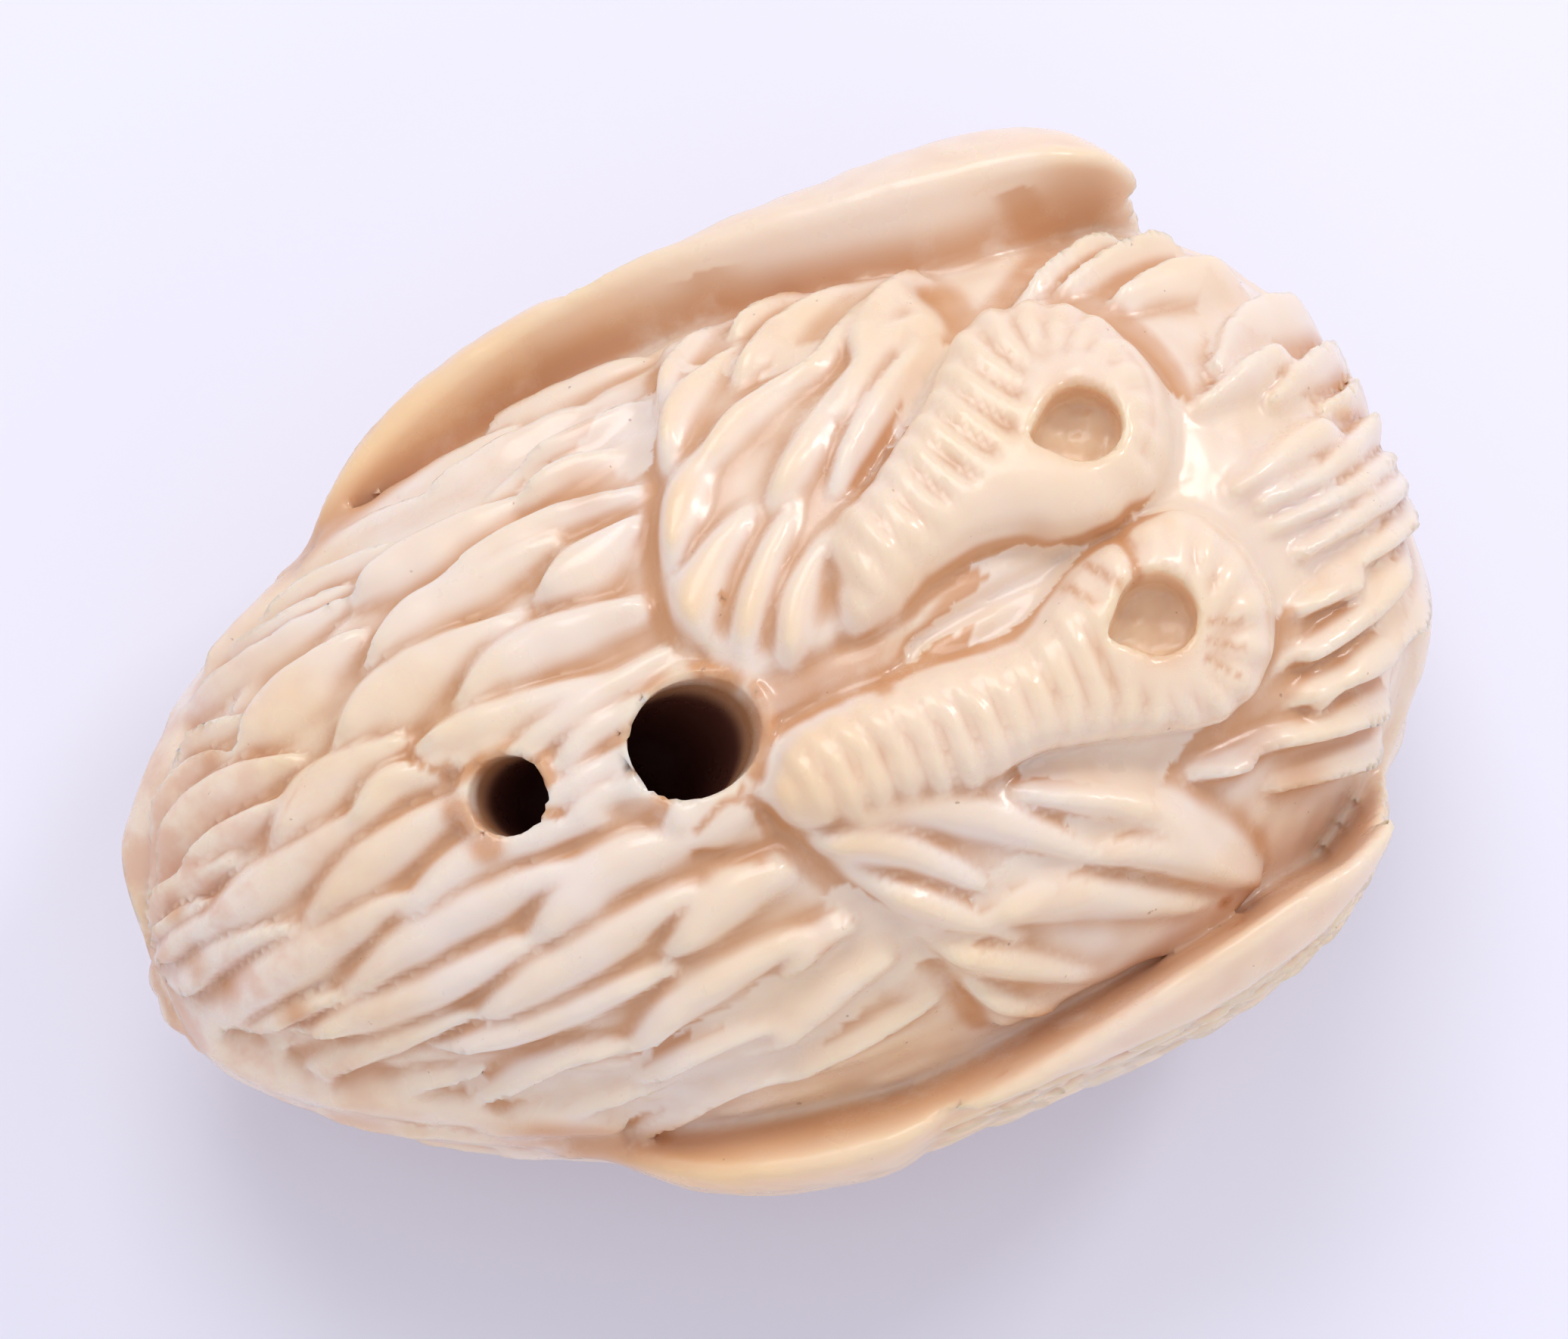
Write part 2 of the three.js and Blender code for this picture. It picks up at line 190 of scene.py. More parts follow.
# Thigh strands: tip, middle, root, from the belly up to the flank.
THIGH_STRANDS = (
    (-2.7, 0.9, -1.9, 2.4, 1, 4.8, 2), (-1.4, 0.1, 0.2, 2, 2.6, 4.6, 1.3),
    (0, -0.8, 1.3, 1.2, 3.2, 3.1, 1.4), (-2.2, 4, -0.5, 6.2, 1.3, 7.9, 1.9),
    (-1.1, 7.6, 0.4, 9.3, 3.2, 11, 1.6), (-0.4, 9.8, 1, 11.1, 2.6, 12.4, 1.4),
    (-0.2, 6.5, 2, 7.9, 5.8, 9.1, 1.5), (2.2, 9.4, 4.8, 10.8, 7.2, 11.9, 1.8),
    (6, 8.2, 8, 10.2, 9.6, 11.6, 1.9), (4.7, 6.3, 6.6, 8.2, 8.9, 9.5, 1.1),
    (1.4, 4.4, 4, 6.3, 6.5, 8.5, 1.6), (3.4, 4, 5.6, 6.1, 8.4, 8.4, 1),
    (2.8, 11.2, 4.2, 11.9, 5.8, 12.5, 1.1), (3.6, 8.3, 5.6, 9.2, 7.4, 10.8, 1.1),
    (1, -10.5, 3, -11.6, 5.8, -13, 1.5), (2.6, -10.1, 5.9, -10.7, 10, -12.2, 2.2),
    (-1.5, -6.2, 0.8, -7.2, 3.4, -9.5, 1.6), (-0.6, -5.8, 3, -6.9, 7.6, -10.2, 1.9),
    (5.2, -7.1, 8.2, -8.4, 11, -11, 1.9), (6.5, -9.4, 9.3, -10.5, 12.2, -12.1, 1.8),
    (-0.2, -7.9, 1.8, -9.7, 4, -11.2, 1.3), (1.6, -11.8, 2.8, -12.8, 4.4, -13.4, 1),
)

# Breast lobes: root, middle, tip. Their round tips make the scalloped edge of the breast.
BREAST_LOBES = (
    (20.2, 1.8, 21.6, 2.5, 22.4, 3.8, 0.9),
    (11.3, 8.8, 13.5, 9.7, 16.5, 10.5, 0.9), (12.2, 8.5, 14, 9, 18.4, 9.8, 1),
    (14.5, 7.6, 16.8, 8, 19.6, 7.6, 1.7), (17.3, 4.2, 19, 5.6, 21.7, 5.9, 2),
    (16, 2.9, 17.5, 3.3, 19.9, 4.1, 1.3), (18.5, 2.4, 20.1, 3.3, 22.3, 4.7, 1.3),
    (16, -0.5, 18, 0.1, 20.4, 0.9, 1.7), (16.5, -1.2, 19.5, -0.6, 22.4, 1.5, 1.3),
    (16.4, -2.1, 19.4, -1.6, 22.4, -0.2, 1), (17.3, -3.2, 19.4, -2.6, 22.4, -1.2, 1.3),
    (17.9, -4.2, 20.2, -3.6, 22.4, -2.3, 1.2), (15.8, -5.1, 17.3, -4.8, 19.2, -4.4, 1),
    (15.3, -6.7, 18, -5.9, 21.4, -4.1, 1.5), (16, -8, 18.5, -6.8, 22.1, -4.8, 1.4),
    (14.1, -7.7, 16.6, -7.5, 19.8, -6.7, 1.2), (13.2, -8.7, 15.7, -8.7, 18.9, -8.3, 1.2),
    (11, -8.8, 12.1, -8.9, 13.3, -8.9, 0.8), (13.6, -10, 15.7, -9.9, 18.2, -9.4, 1),
)

# Smooth ground between the carved parts: x, y points, half-width and depth.
VALLEYS = (
    (((9.9, 10.8), (10.4, 9.3), (12.3, 10.2), (14.6, 12)), 1.2, 0.95),
    (((6.5, -6.7), (8.2, -7.3), (10.2, -8.1), (12.2, -8), (14.2, -7.7), (15.6, -6.9)), 0.9, 1),
    (((-1, -1.2), (1.5, -1.5), (3.8, -1.5)), 0.9, 0.5),
    (((15.9, -5.5), (16.2, -3), (15.9, -1)), 0.7, 0.75),
    (((15.5, 3.2), (15.6, 5), (14.9, 7.2), (13.2, 8.7)), 0.8, 0.75),
    (((0.2, 12.2), (-0.9, 9.4), (-1.8, 6.8), (-2.8, 4.4), (-3, 2.4), (-2.5, 0.9)), 0.6, 0.75),
    (((-2.2, -5.6), (-1.1, -8), (0.4, -10.4), (1.3, -12), (1.9, -13.4)), 0.75, 0.85),
)

# Hollow between the shanks, with two low strands on its floor.
HOLLOW_OUTLINE = (
    (3.6, -1.4), (5, -0.4), (6.2, 0.4), (7.6, 0.65), (9, 0.4), (10.2, -0.4),
    (9.3, -1.3), (8.2, -2), (6, -2.4), (3, -2.2),
)
HOLLOW_DEPTH = 1.45
HOLLOW_STRANDS = (
    (3.9, -1.3, 6.4, -0.5, 10.2, -0.3, 1.5), (3.8, -1.9, 6, -1.8, 8.8, -1.3, 0.9),
)

# Thighs stand proud of the belly inside these outlines, by THIGH_RISE.
THIGH_RIGHT = (
    (0.6, 12.8), (-0.3, 9.8), (-1.4, 7.1), (-2.6, 4.6), (-2.9, 2.4), (-2.2, 0.7), (-0.6, -0.7),
    (3, 0), (4.4, 3.9), (8.4, 8), (9.8, 9.8), (9.8, 11.6), (6, 12.6),
)
THIGH_LEFT = (
    (-2, -5.2), (-0.9, -7.6), (0.8, -10.4), (1.9, -13.4), (6, -13.4), (12.4, -12.2),
    (10.9, -9.3), (8.6, -7.9), (6.4, -7), (2, -5.4),
)
THIGH_RISE = 0.45

# Legs: the outline of shank and closed foot, and the line that the ribs cross.
LEG_RIGHT = (
    (2.2, -0.6), (2.4, 1.4), (3, 3.1), (4.6, 4.1), (6.1, 5.2), (7.4, 6.1), (8.6, 7.4),
    (10, 8.3), (11.6, 8.4), (13.1, 7.9), (14.2, 6.9), (14.9, 5.4), (15.1, 4), (14.8, 2.6),
    (14.1, 1.2), (13.2, 0.3), (12.2, 0), (11.5, -0.3), (9.8, -0.1), (8.6, 0.5), (7.2, 0.7),
    (5.3, 0.3), (3.8, -0.4),
)
LEG_RIGHT_LINE = (
    (1, 0.2), (3.6, 1.7), (6.2, 3.1), (8.6, 4.8), (10.4, 6.2), (12, 6.6), (13.4, 5.8),
    (14, 4), (13.8, 2.2), (12.8, 0.8),
)
LEG_LEFT = (
    (-2.3, -4.2), (-1.6, -3.1), (-0.6, -2.5), (1.5, -2.3), (4.2, -2.4), (7, -2.6), (8.4, -1.9),
    (9.4, -1.3), (10.4, -0.8), (11.4, -0.5), (12.5, -0.3), (13.6, -0.3), (14.6, -0.9),
    (15.3, -1.9), (15.7, -3.2), (15.6, -4.6), (14.9, -6), (13.6, -7), (12, -7.4),
    (10.2, -7.1), (8.5, -6.7), (6.3, -6.4), (4.4, -6.6), (2, -6.3), (0, -6.1), (-1.7, -5.5),
)
LEG_LEFT_LINE = (
    (-2.2, -4.1), (0.5, -4.1), (4, -4.2), (7, -4.3), (9.4, -5.2), (11.2, -6.2), (13.2, -5.7),
    (14.3, -4.2), (14.2, -2.4), (13.2, -1.1), (12.2, -0.8),
)
CLAW_RIGHT = ((7.0, 1.8), (10.2, 3.2), (11.8, 0.9), (11.6, -0.4), (9.6, -0.2), (6.4, 0.6))
RIB_PITCH = 0.98
RIB_DEPTH = 0.44
RIB_LEAN_RIGHT = -0.18
RIB_LEAN_LEFT = 0.5
LEG_RISE = 0.95
LEG_EDGE = 1.5
LEG_FOOT = -0.8

# Blind pockets in the closed feet: centre, and the corner on the shank side.
POCKETS = (((11.8, 3.1), (10.35, 3.2)), ((11.6, -3.55), (10.1, -3.7)))
POCKET_RADIUS = 1.3
POCKET_DEPTH = 1.8
POCKET_RIPPLE = 0.1
POCKET_AMBER = 0.8

# Fine cuts: x, y points, half-width and depth.
FINE_CUTS = (
    (((-12.1, 2.2), (-12, 1.7), (-11.5, 1.1), (-10.7, 0.7), (-10, 0.6)), 0.16, 0.28),
    (((11.5, -0.6), (11.6, -1.4), (11.4, -2.3)), 0.2, 0.45),
    (((9.3, -1.6), (9.8, -2.4)), 0.22, 0.2),
    (((10.2, -1.2), (10.8, -2.2)), 0.22, 0.2),
    (((13.1, 6.5), (14.1, 5.3), (14.5, 4), (14.1, 2.5), (13.3, 1.5)), 0.2, 0.1),
    (((14.4, -1), (15.1, -2.5), (15.2, -4.5), (14.4, -6)), 0.2, 0.1),
    (((13.1, -4), (14.1, -4.2)), 0.14, 0.2),
    (((12.9, -4.5), (13.9, -5)), 0.14, 0.2),
    (((12.6, -4.9), (13.4, -5.7)), 0.14, 0.2),
    (((4, -1.5), (6, -1.15), (8, -0.65), (9.8, -0.35)), 0.3, 0.35),
    (((2, -2.25), (3.3, -2.35)), 0.15, 0.2),
    (((-4.6, -4.4), (-3.2, -3.9), (-2.3, -4.9), (-2.2, -5.8)), 0.18, 0.22),
    (((-4.8, -5.2), (-3.5, -5.9), (-2.2, -5.9)), 0.2, 0.25),
    (((-2.7, -3.7), (-2.3, -5)), 0.15, 0.25),
    (((-19.3, -5.3), (-17.8, -4.5)), 0.12, 0.15),
    (((-17.4, 1.2), (-15, 3.3)), 0.10, 0.12),
)

# Brown stains: x, y, radius and strength. Small ones are specks of old dirt.
STAINS = (
    (-3.6, 8.4, 1.2, 0.35), (-2.6, 11.0, 1.4, 0.3), (-2.0, -9.6, 0.8, 0.35), (17.2, -2.55, 0.45, 1.0),
    (14.5, 0.4, 0.8, 0.6), (8.8, -0.5, 1.0, 0.55), (6.8, -6.7, 0.6, 0.6), (13.5, -8.8, 1.2, 0.3),
    (14.5, -9.9, 1.6, 0.35), (3.0, 13.0, 1.5, 0.35), (10.8, 9.3, 1.0, 0.4), (-1.0, 2.3, 0.16, 1.0),
    (-1.1, -0.95, 0.28, 0.9), (10.4, 13.3, 0.2, 1.0), (-12.0, 1.7, 0.22, 0.7), (-1.5, -1.6, 0.8, 0.5),
    (-1.9, -0.2, 0.6, 0.45), (-11.2, 0.9, 0.3, 0.7), (-10.9, -2.0, 0.7, 0.6), (-11.4, -0.6, 0.6, 0.6),
    (-2.5, 0.5, 0.4, 0.6), (-2.4, -4.9, 0.3, 0.7), (-3.0, -6.0, 0.4, 0.5), (10.8, -12.3, 0.3, 0.8),
    (2.6, -2.3, 0.4, 0.7), (-21.0, 1.2, 0.7, 0.4), (-20.5, -2.4, 0.8, 0.4), (-18.6, -4.1, 0.8, 0.4),
    (-18.0, 5.5, 0.8, 0.4), (-21.0, -1.0, 0.8, 0.4), (-18.0, 7.0, 0.8, 0.4), (5.3, 12.5, 0.3, 0.8),
    (14.4, 12.5, 0.15, 0.8), (11.8, 3.1, 1.3, 0.5), (11.6, -3.55, 1.3, 0.45),
)


# ---------------------------------------------------------------- outlines

def rounded_end(distance, length, power):
    ratio = np.clip(np.abs(distance) / length, 0.0, 1.0)
    return (1.0 - ratio ** power) ** (1.0 / power)


def body_outline(x):
    distance = x - BODY_WIDEST
    ahead = rounded_end(distance, BREAST_LENGTH, BREAST_POWER)
    behind = rounded_end(distance, TAIL_LENGTH, TAIL_POWER)
    return np.where(distance > 0.0, ahead, behind)


def wing_outline(x):
    """A middling outline of the two wings, for laying out their feathers."""
    distance = x - WING_WIDEST
    ahead = rounded_end(distance, WING_LEFT[1], WING_RIGHT[3])
    behind = rounded_end(distance, WING_RIGHT[2], WING_RIGHT[4])
    return np.where(distance > 0.0, ahead, behind)


def lean(x):
    return TAIL_LEAN * smooth_step(-x, 6.0, 18.0) + BREAST_LEAN * smooth_step(x, 8.0, 19.0)


def belly_height(x, y):
    outline = body_outline(x)
    across = np.clip(np.abs(y - lean(x)) / (BODY_HALF_WIDTH * outline + 1e-9), 0.0, 1.0)
    return BODY_MIDDLE_Z + BELLY_RISE * outline * np.sqrt(1.0 - across ** 2)


def smooth_step(value, low, high):
    ratio = np.clip((value - low) / (high - low), 0.0, 1.0)
    return ratio * ratio * (3.0 - 2.0 * ratio)


def along_table(table, x, column=1):
    """Value of a column of a table at x, on a smooth curve through its rows."""
    curve = smooth_curve(table)
    return np.interp(x, curve[:, 0], curve[:, column])


def smooth_curve(points, spacing=0.12):
    """Catmull-Rom curve through rows of numbers, resampled at about even spacing."""
    rows = np.array(points, float)
    padded = np.vstack([2 * rows[0] - rows[1], rows, 2 * rows[-1] - rows[-2]])
    pieces = []
    for a, b, c, d in zip(padded[:-3], padded[1:-2], padded[2:-1], padded[3:]):
        count = max(2, int(np.linalg.norm((c - b)[:2]) / spacing))
        t = np.linspace(0.0, 1.0, count, endpoint=False)[:, None]
        pieces.append(0.5 * (
            2 * b + (c - a) * t + (2 * a - 5 * b + 4 * c - d) * t ** 2
            + (3 * b - a - 3 * c + d) * t ** 3))
    pieces.append(rows[-1:])
    return np.vstack(pieces)


# ---------------------------------------------------------------- relief maps

# Feather section: how far its edges would lie below the crest, where the crest runs (0 is the middle,
# 1 the upper edge), and how far a feather sinks towards its root. It is laid wider than its listed
# width, because neighbours cover its edges. Breast lobes are cut deeper and stand higher. Bare ground
# between feathers lies at GROUND.
FEATHER_DEPTH = 1.5
LOBE_DEPTH = 1.9
LOBE_LEVEL = 0.15
CREST_PLACE = 0.25
ROOT_SINK = 0.4
FEATHER_SPREAD = 1.45
GROUND = -1.0

# Hand-cut unevenness of all the relief, grit in the dirty grooves, and where the ends wear soft.
WAVER = 0.022
GRIT = 0.05
WORN_ENDS = (18.5, 21.5)

# Where the feathers under the body start, as angles from the middle of the belly.
RUMP_ANGLE = math.radians(72.0)
FLANK_ANGLE = math.radians(100.0)
BREAST_ANGLE = math.radians(88.0)


class Relief:
    """Carved height over a rounded form, held on a grid of length along and angle around.

    The length is measured along the form's own outline, so the ends aren't squeezed.
    """

    def __init__(self, outline, first_x, last_x, mean_radius):
        x = np.linspace(first_x, last_x, 1200)
        radius = mean_radius * outline(x)
        step = np.hypot(np.diff(x), np.diff(radius))
        self.table_x = x
        self.table_length = np.concatenate([[0.0], np.cumsum(step)])
        self.rows = int(self.table_length[-1] / MAP_STEP) + 2
        self.columns = int(2 * math.pi * mean_radius / MAP_STEP)
        self.length = np.arange(self.rows) * MAP_STEP
        self.angle = -math.pi + 2 * math.pi * np.arange(self.columns) / self.columns
        self.x = np.interp(self.length, self.table_length, self.table_x)
        self.radius = mean_radius * outline(self.x)
        self.height = np.full((self.rows, self.columns), GROUND)
        self.dirt = np.zeros((self.rows, self.columns))

    def window(self, mapped, margin):
        """A patch of the grid around some points, with its flat coordinates."""
        length, angle = mapped[:, 0], mapped[:, 1]
        low = max(0, int((length.min() - margin) / MAP_STEP))
        high = min(self.rows, int((length.max() + margin) / MAP_STEP) + 2)
        rows = np.arange(low, high)
        local = max(2.0, float(self.radius[rows].mean()))
        reach = margin / local
        first = int((angle.min() - reach + math.pi) / (2 * math.pi) * self.columns)
        last = int((angle.max() + reach + math.pi) / (2 * math.pi) * self.columns) + 2
        columns = np.arange(first, min(last, first + self.columns))
        real_angle = -math.pi + 2 * math.pi * columns / self.columns
        along = self.length[rows][:, None] + 0.0 * real_angle[None, :]
        across = self.radius[rows][:, None] * real_angle[None, :]
        return np.ix_(rows, columns % self.columns), along, across

    def flat(self, mapped):
        """Map points as flat length and sideways distance, keeping any further columns."""
        across = mapped[:, 1] * np.interp(mapped[:, 0], self.length, self.radius)
        return np.column_stack([mapped[:, 0], across, mapped[:, 2:]])

    def curve(self, mapped):
        return smooth_curve(self.flat(mapped))

    def length_at(self, x):
        return np.interp(x, self.table_x, self.table_length)

    def belly(self, points):
        """Belly x, y points as map length and angle."""
        rows = np.array(points, float)
        half = BODY_HALF_WIDTH * body_outline(rows[:, 0]) + 1e-6
        sideways = rows[:, 1] - lean(rows[:, 0])
        angle = np.arcsin(np.clip(sideways / half, -0.999, 0.999))
        return np.column_stack([self.length_at(rows[:, 0]), angle, rows[:, 2:]])

    def sample(self, grid, x, angle):
        """Bilinear value of a grid at points given by x and angle."""
        row = np.clip(self.length_at(x) / MAP_STEP, 0, self.rows - 1.001)
        column = (angle + math.pi) / (2 * math.pi) * self.columns
        r0 = row.astype(int)
        c0 = np.floor(column).astype(int)
        down = row - r0
        right = column - c0
        c1 = (c0 + 1) % self.columns
        c0 = c0 % self.columns
        first = grid[r0, c0] * (1 - right) + grid[r0, c1] * right
        second = grid[r0 + 1, c0] * (1 - right) + grid[r0 + 1, c1] * right
        return first * (1 - down) + second * down

    def raise_to(self, place, height, blend=0.08):
        self.height[place] = smooth_max(self.height[place], height, blend)


def nearest_on_curve(curve, along, across):
    """Index of the nearest curve point, and the distance to it, positive on the left."""
    flat = np.stack([along.ravel(), across.ravel()], 1)
    best = np.full(len(flat), 1e9)
    index = np.zeros(len(flat), int)
    for k, point in enumerate(curve[:, :2]):
        distance = (flat[:, 0] - point[0]) ** 2 + (flat[:, 1] - point[1]) ** 2
        closer = distance < best
        best[closer] = distance[closer]
        index[closer] = k
    heading = np.gradient(curve[:, :2], axis=0)
    offset = flat - curve[index, :2]
    left = heading[index, 0] * offset[:, 1] - heading[index, 1] * offset[:, 0] > 0.0
    distance = np.where(left, np.sqrt(best), -np.sqrt(best))
    return index.reshape(along.shape), distance.reshape(along.shape)


def signed_inside(outline, along, across):
    """Distance to a closed outline, positive inside."""
    inside = np.zeros(along.shape, bool)
    nearest = np.full(along.shape, 1e9)
    for start, end in zip(outline, np.roll(outline, -1, axis=0)):
        edge = end - start
        run = (along - start[0]) * edge[0] + (across - start[1]) * edge[1]
        share = np.clip(run / (edge @ edge + 1e-12), 0.0, 1.0)
        gap = np.hypot(along - start[0] - share * edge[0], across - start[1] - share * edge[1])
        nearest = np.minimum(nearest, gap)
        if start[1] != end[1]:
            crossing = start[0] + (across - start[1]) * edge[0] / edge[1]
            inside ^= ((start[1] > across) != (end[1] > across)) & (along < crossing)
    return np.where(inside, nearest, -nearest)


def inside_patch(relief, outline, margin):
    """Grid patch around a belly outline, with the distance inside it."""
    mapped = relief.belly(outline)
    closed = relief.curve(np.vstack([mapped, mapped[:1]]))[:-1]
    place, along, across = relief.window(mapped, margin)
    return place, along, across, signed_inside(closed, along, across)


def pointed_width(share):
    """Share of the full width from the sharp tip (0) to the tucked-in root (1)."""
    opening = np.sin(0.5 * math.pi * np.clip(share / 0.42, 0.0, 1.0))
    closing = np.cos(0.5 * math.pi * np.clip((share - 0.42) / 0.62, 0.0, 1.0))
    return opening * closing ** 0.7


def lobed_width(share):
    """Share of the full width from the round tip (0) to the narrow root (1)."""
    rounded = np.sqrt(np.clip(1.0 - (1.0 - np.clip(share / 0.3, 0.0, 1.0)) ** 2, 0.0, 1.0))
    return rounded * (1.0 - 0.5 * smooth_step(share, 0.45, 1.0))


def lay_feather(relief, mapped, width, level=0.0, tip_first=True, width_along=pointed_width,
                depth=FEATHER_DEPTH):
    curve = relief.curve(mapped)
    half = 0.5 * FEATHER_SPREAD * width
    place, along, across = relief.window(mapped, half + 0.3)
    index, sideways = nearest_on_curve(curve, along, across)
    progress = index / (len(curve) - 1.0)
    from_tip = progress if tip_first else 1.0 - progress
    share = sideways / (half * width_along(from_tip) + 0.02)
    above = (share - CREST_PLACE) / (1.0 - CREST_PLACE)
    below = (CREST_PLACE - share) / (1.0 + CREST_PLACE)
    fall = np.where(share > CREST_PLACE, above, below) ** 2
    blunt = 0.3 * (1.0 - smooth_step(from_tip, 0.0, 0.14))
    height = level - ROOT_SINK * from_tip - blunt - depth * fall
    relief.raise_to(place, np.where(np.abs(share) < 1.0, height, level + 2.0 * GROUND))


def lay_belly_feathers(relief, feathers, level=0.0, tip_first=True, width_along=pointed_width,
                       depth=FEATHER_DEPTH):
    for row in feathers:
        places = [(row[0], row[1]), (row[2], row[3]), (row[4], row[5])]
        lay_feather(relief, relief.belly(places), row[6], level, tip_first, width_along, depth)


def lay_feather_rows(relief, rng, x_range, angle_range, width, length, level=0.0, bend=0.2,
                     tips_ahead=False):
    """Overlapping feathers in staggered rows, with tips at the tail or, as lobes, at the breast."""
    width_along = lobed_width if tips_ahead else pointed_width
    first_angle, last_angle = angle_range
    pitch = 0.8 * width
    rows = max(1, round((last_angle - first_angle) * float(relief.radius.max()) / pitch))
    for row in range(rows):
        angle = first_angle + (row + 0.5) * (last_angle - first_angle) / rows
        tip = x_range[0] + (0.45 * length if row % 2 else 0.0)
        while tip < x_range[1] - 0.4 * length:
            reach = length * rng.uniform(1.0, 1.25)
            x = np.array([tip, tip + 0.5 * reach, min(tip + reach, x_range[1])])
            local = np.maximum(3.0, np.interp(x, relief.x, relief.radius))
            waver = rng.uniform(-0.12, 0.12) + bend * np.array([-1.0, 0.4, 1.0])
            mapped = np.column_stack([relief.length_at(x), angle + waver / local])
            breadth = width * rng.uniform(0.9, 1.1)
            lay_feather(relief, mapped, breadth, level, not tips_ahead, width_along)
            tip += 0.78 * length * rng.uniform(0.95, 1.1)


def sink_valley(relief, points, width, depth):
    mapped = relief.belly(points)
    place, along, across = relief.window(mapped, width)
    _, sideways = nearest_on_curve(relief.curve(mapped), along, across)
    shape = 1.0 - smooth_step(np.abs(sideways), 0.25 * width, width)
    relief.height[place] = relief.height[place] * (1.0 - 0.8 * shape) - depth * shape
    relief.dirt[place] = np.maximum(relief.dirt[place], 0.36 * shape)


def sink_hollow(relief):
    place, _, _, inside = inside_patch(relief, HOLLOW_OUTLINE, 1.0)
    shape = smooth_step(inside, -0.15, 0.45)
    relief.height[place] = relief.height[place] * (1.0 - shape) - HOLLOW_DEPTH * shape
    relief.dirt[place] = np.maximum(relief.dirt[place], 0.45 * shape)
    lay_belly_feathers(relief, HOLLOW_STRANDS, level=-0.75)


def raise_thigh(relief, outline):
    place, _, _, inside = inside_patch(relief, outline, 1.0)
    shape = smooth_step(inside, -0.1, 0.4)
    ground = THIGH_RISE + 0.8 * GROUND
    relief.height[place] = relief.height[place] * (1.0 - shape) + ground * shape


def lay_leg(relief, outline, line, lean, pocket, smooth_outline=None):
    """A rounded leg and closed foot. Ribs run across the line, except round the pocket."""
    place, along, across, inside = inside_patch(relief, outline, 1.0)
    edge = np.clip(inside / LEG_EDGE, 0.0, 1.0)
    crown = np.sqrt(1.0 - (1.0 - edge) ** 2)
    curve = relief.curve(relief.belly(line))
    index, sideways = nearest_on_curve(curve, along, across)
    steps = np.hypot(*np.diff(curve[:, :2], axis=0).T)
    travel = np.concatenate([[0.0], np.cumsum(steps)])[index]
    phase = (travel + lean * np.maximum(sideways, 0.0)) / RIB_PITCH
    rib = np.abs(np.sin(math.pi * phase)) ** 0.8
    centre = relief.flat(relief.belly([pocket]))[0]
    ribbed = smooth_step(np.hypot(along - centre[0], across - centre[1]), 1.6, 2.2)
    if smooth_outline is not None:
        smooth = relief.curve(relief.belly(smooth_outline + smooth_outline[:1]))[:-1]
        ribbed *= 1.0 - smooth_step(signed_inside(smooth, along, across), -0.5, 0.3)
    height = LEG_RISE * crown + LEG_FOOT * (1.0 - crown)
    height -= RIB_DEPTH * (1.0 - rib) * ribbed * smooth_step(inside, 0.0, 0.5)
    relief.raise_to(place, np.where(inside > 0.0, height, 3.0 * GROUND), 0.08)


def cut_line(relief, points, width, depth):
    mapped = relief.belly(points)
    place, along, across = relief.window(mapped, 2.0 * width)
    _, sideways = nearest_on_curve(relief.curve(mapped), along, across)
    shape = np.exp(-(sideways / width) ** 2)
    relief.height[place] -= depth * shape
    relief.dirt[place] = np.maximum(relief.dirt[place], min(0.6, 2.0 * depth) * shape)


def add_stain(relief, x, y, radius, strength):
    mapped = relief.belly([(x, y)])
    place, along, across = relief.window(mapped, 2.5 * radius)
    centre = relief.flat(mapped)[0]
    spread = np.hypot(along - centre[0], across - centre[1]) / radius
    relief.dirt[place] = np.maximum(relief.dirt[place], strength * np.exp(-spread ** 2))


def blurred(grid, passes, reach):
    """Repeated box blur, wrapping around the angle."""
    result = grid.copy()
    for _ in range(passes):
        padded = np.pad(result, ((reach, reach), (0, 0)), mode="edge")
        total = np.zeros_like(result)
        for shift in range(2 * reach + 1):
            total += padded[shift:shift + result.shape[0]]
        result = total / (2 * reach + 1)
        total = np.zeros_like(result)
        for shift in range(-reach, reach + 1):
            total += np.roll(result, shift, axis=1)
        result = total / (2 * reach + 1)
    return result


def soft_noise(relief, rng, reach):
    """Smooth random bumps with a spread of 1."""
    bumps = blurred(rng.standard_normal(relief.height.shape), 2, reach)
    return bumps / bumps.std()


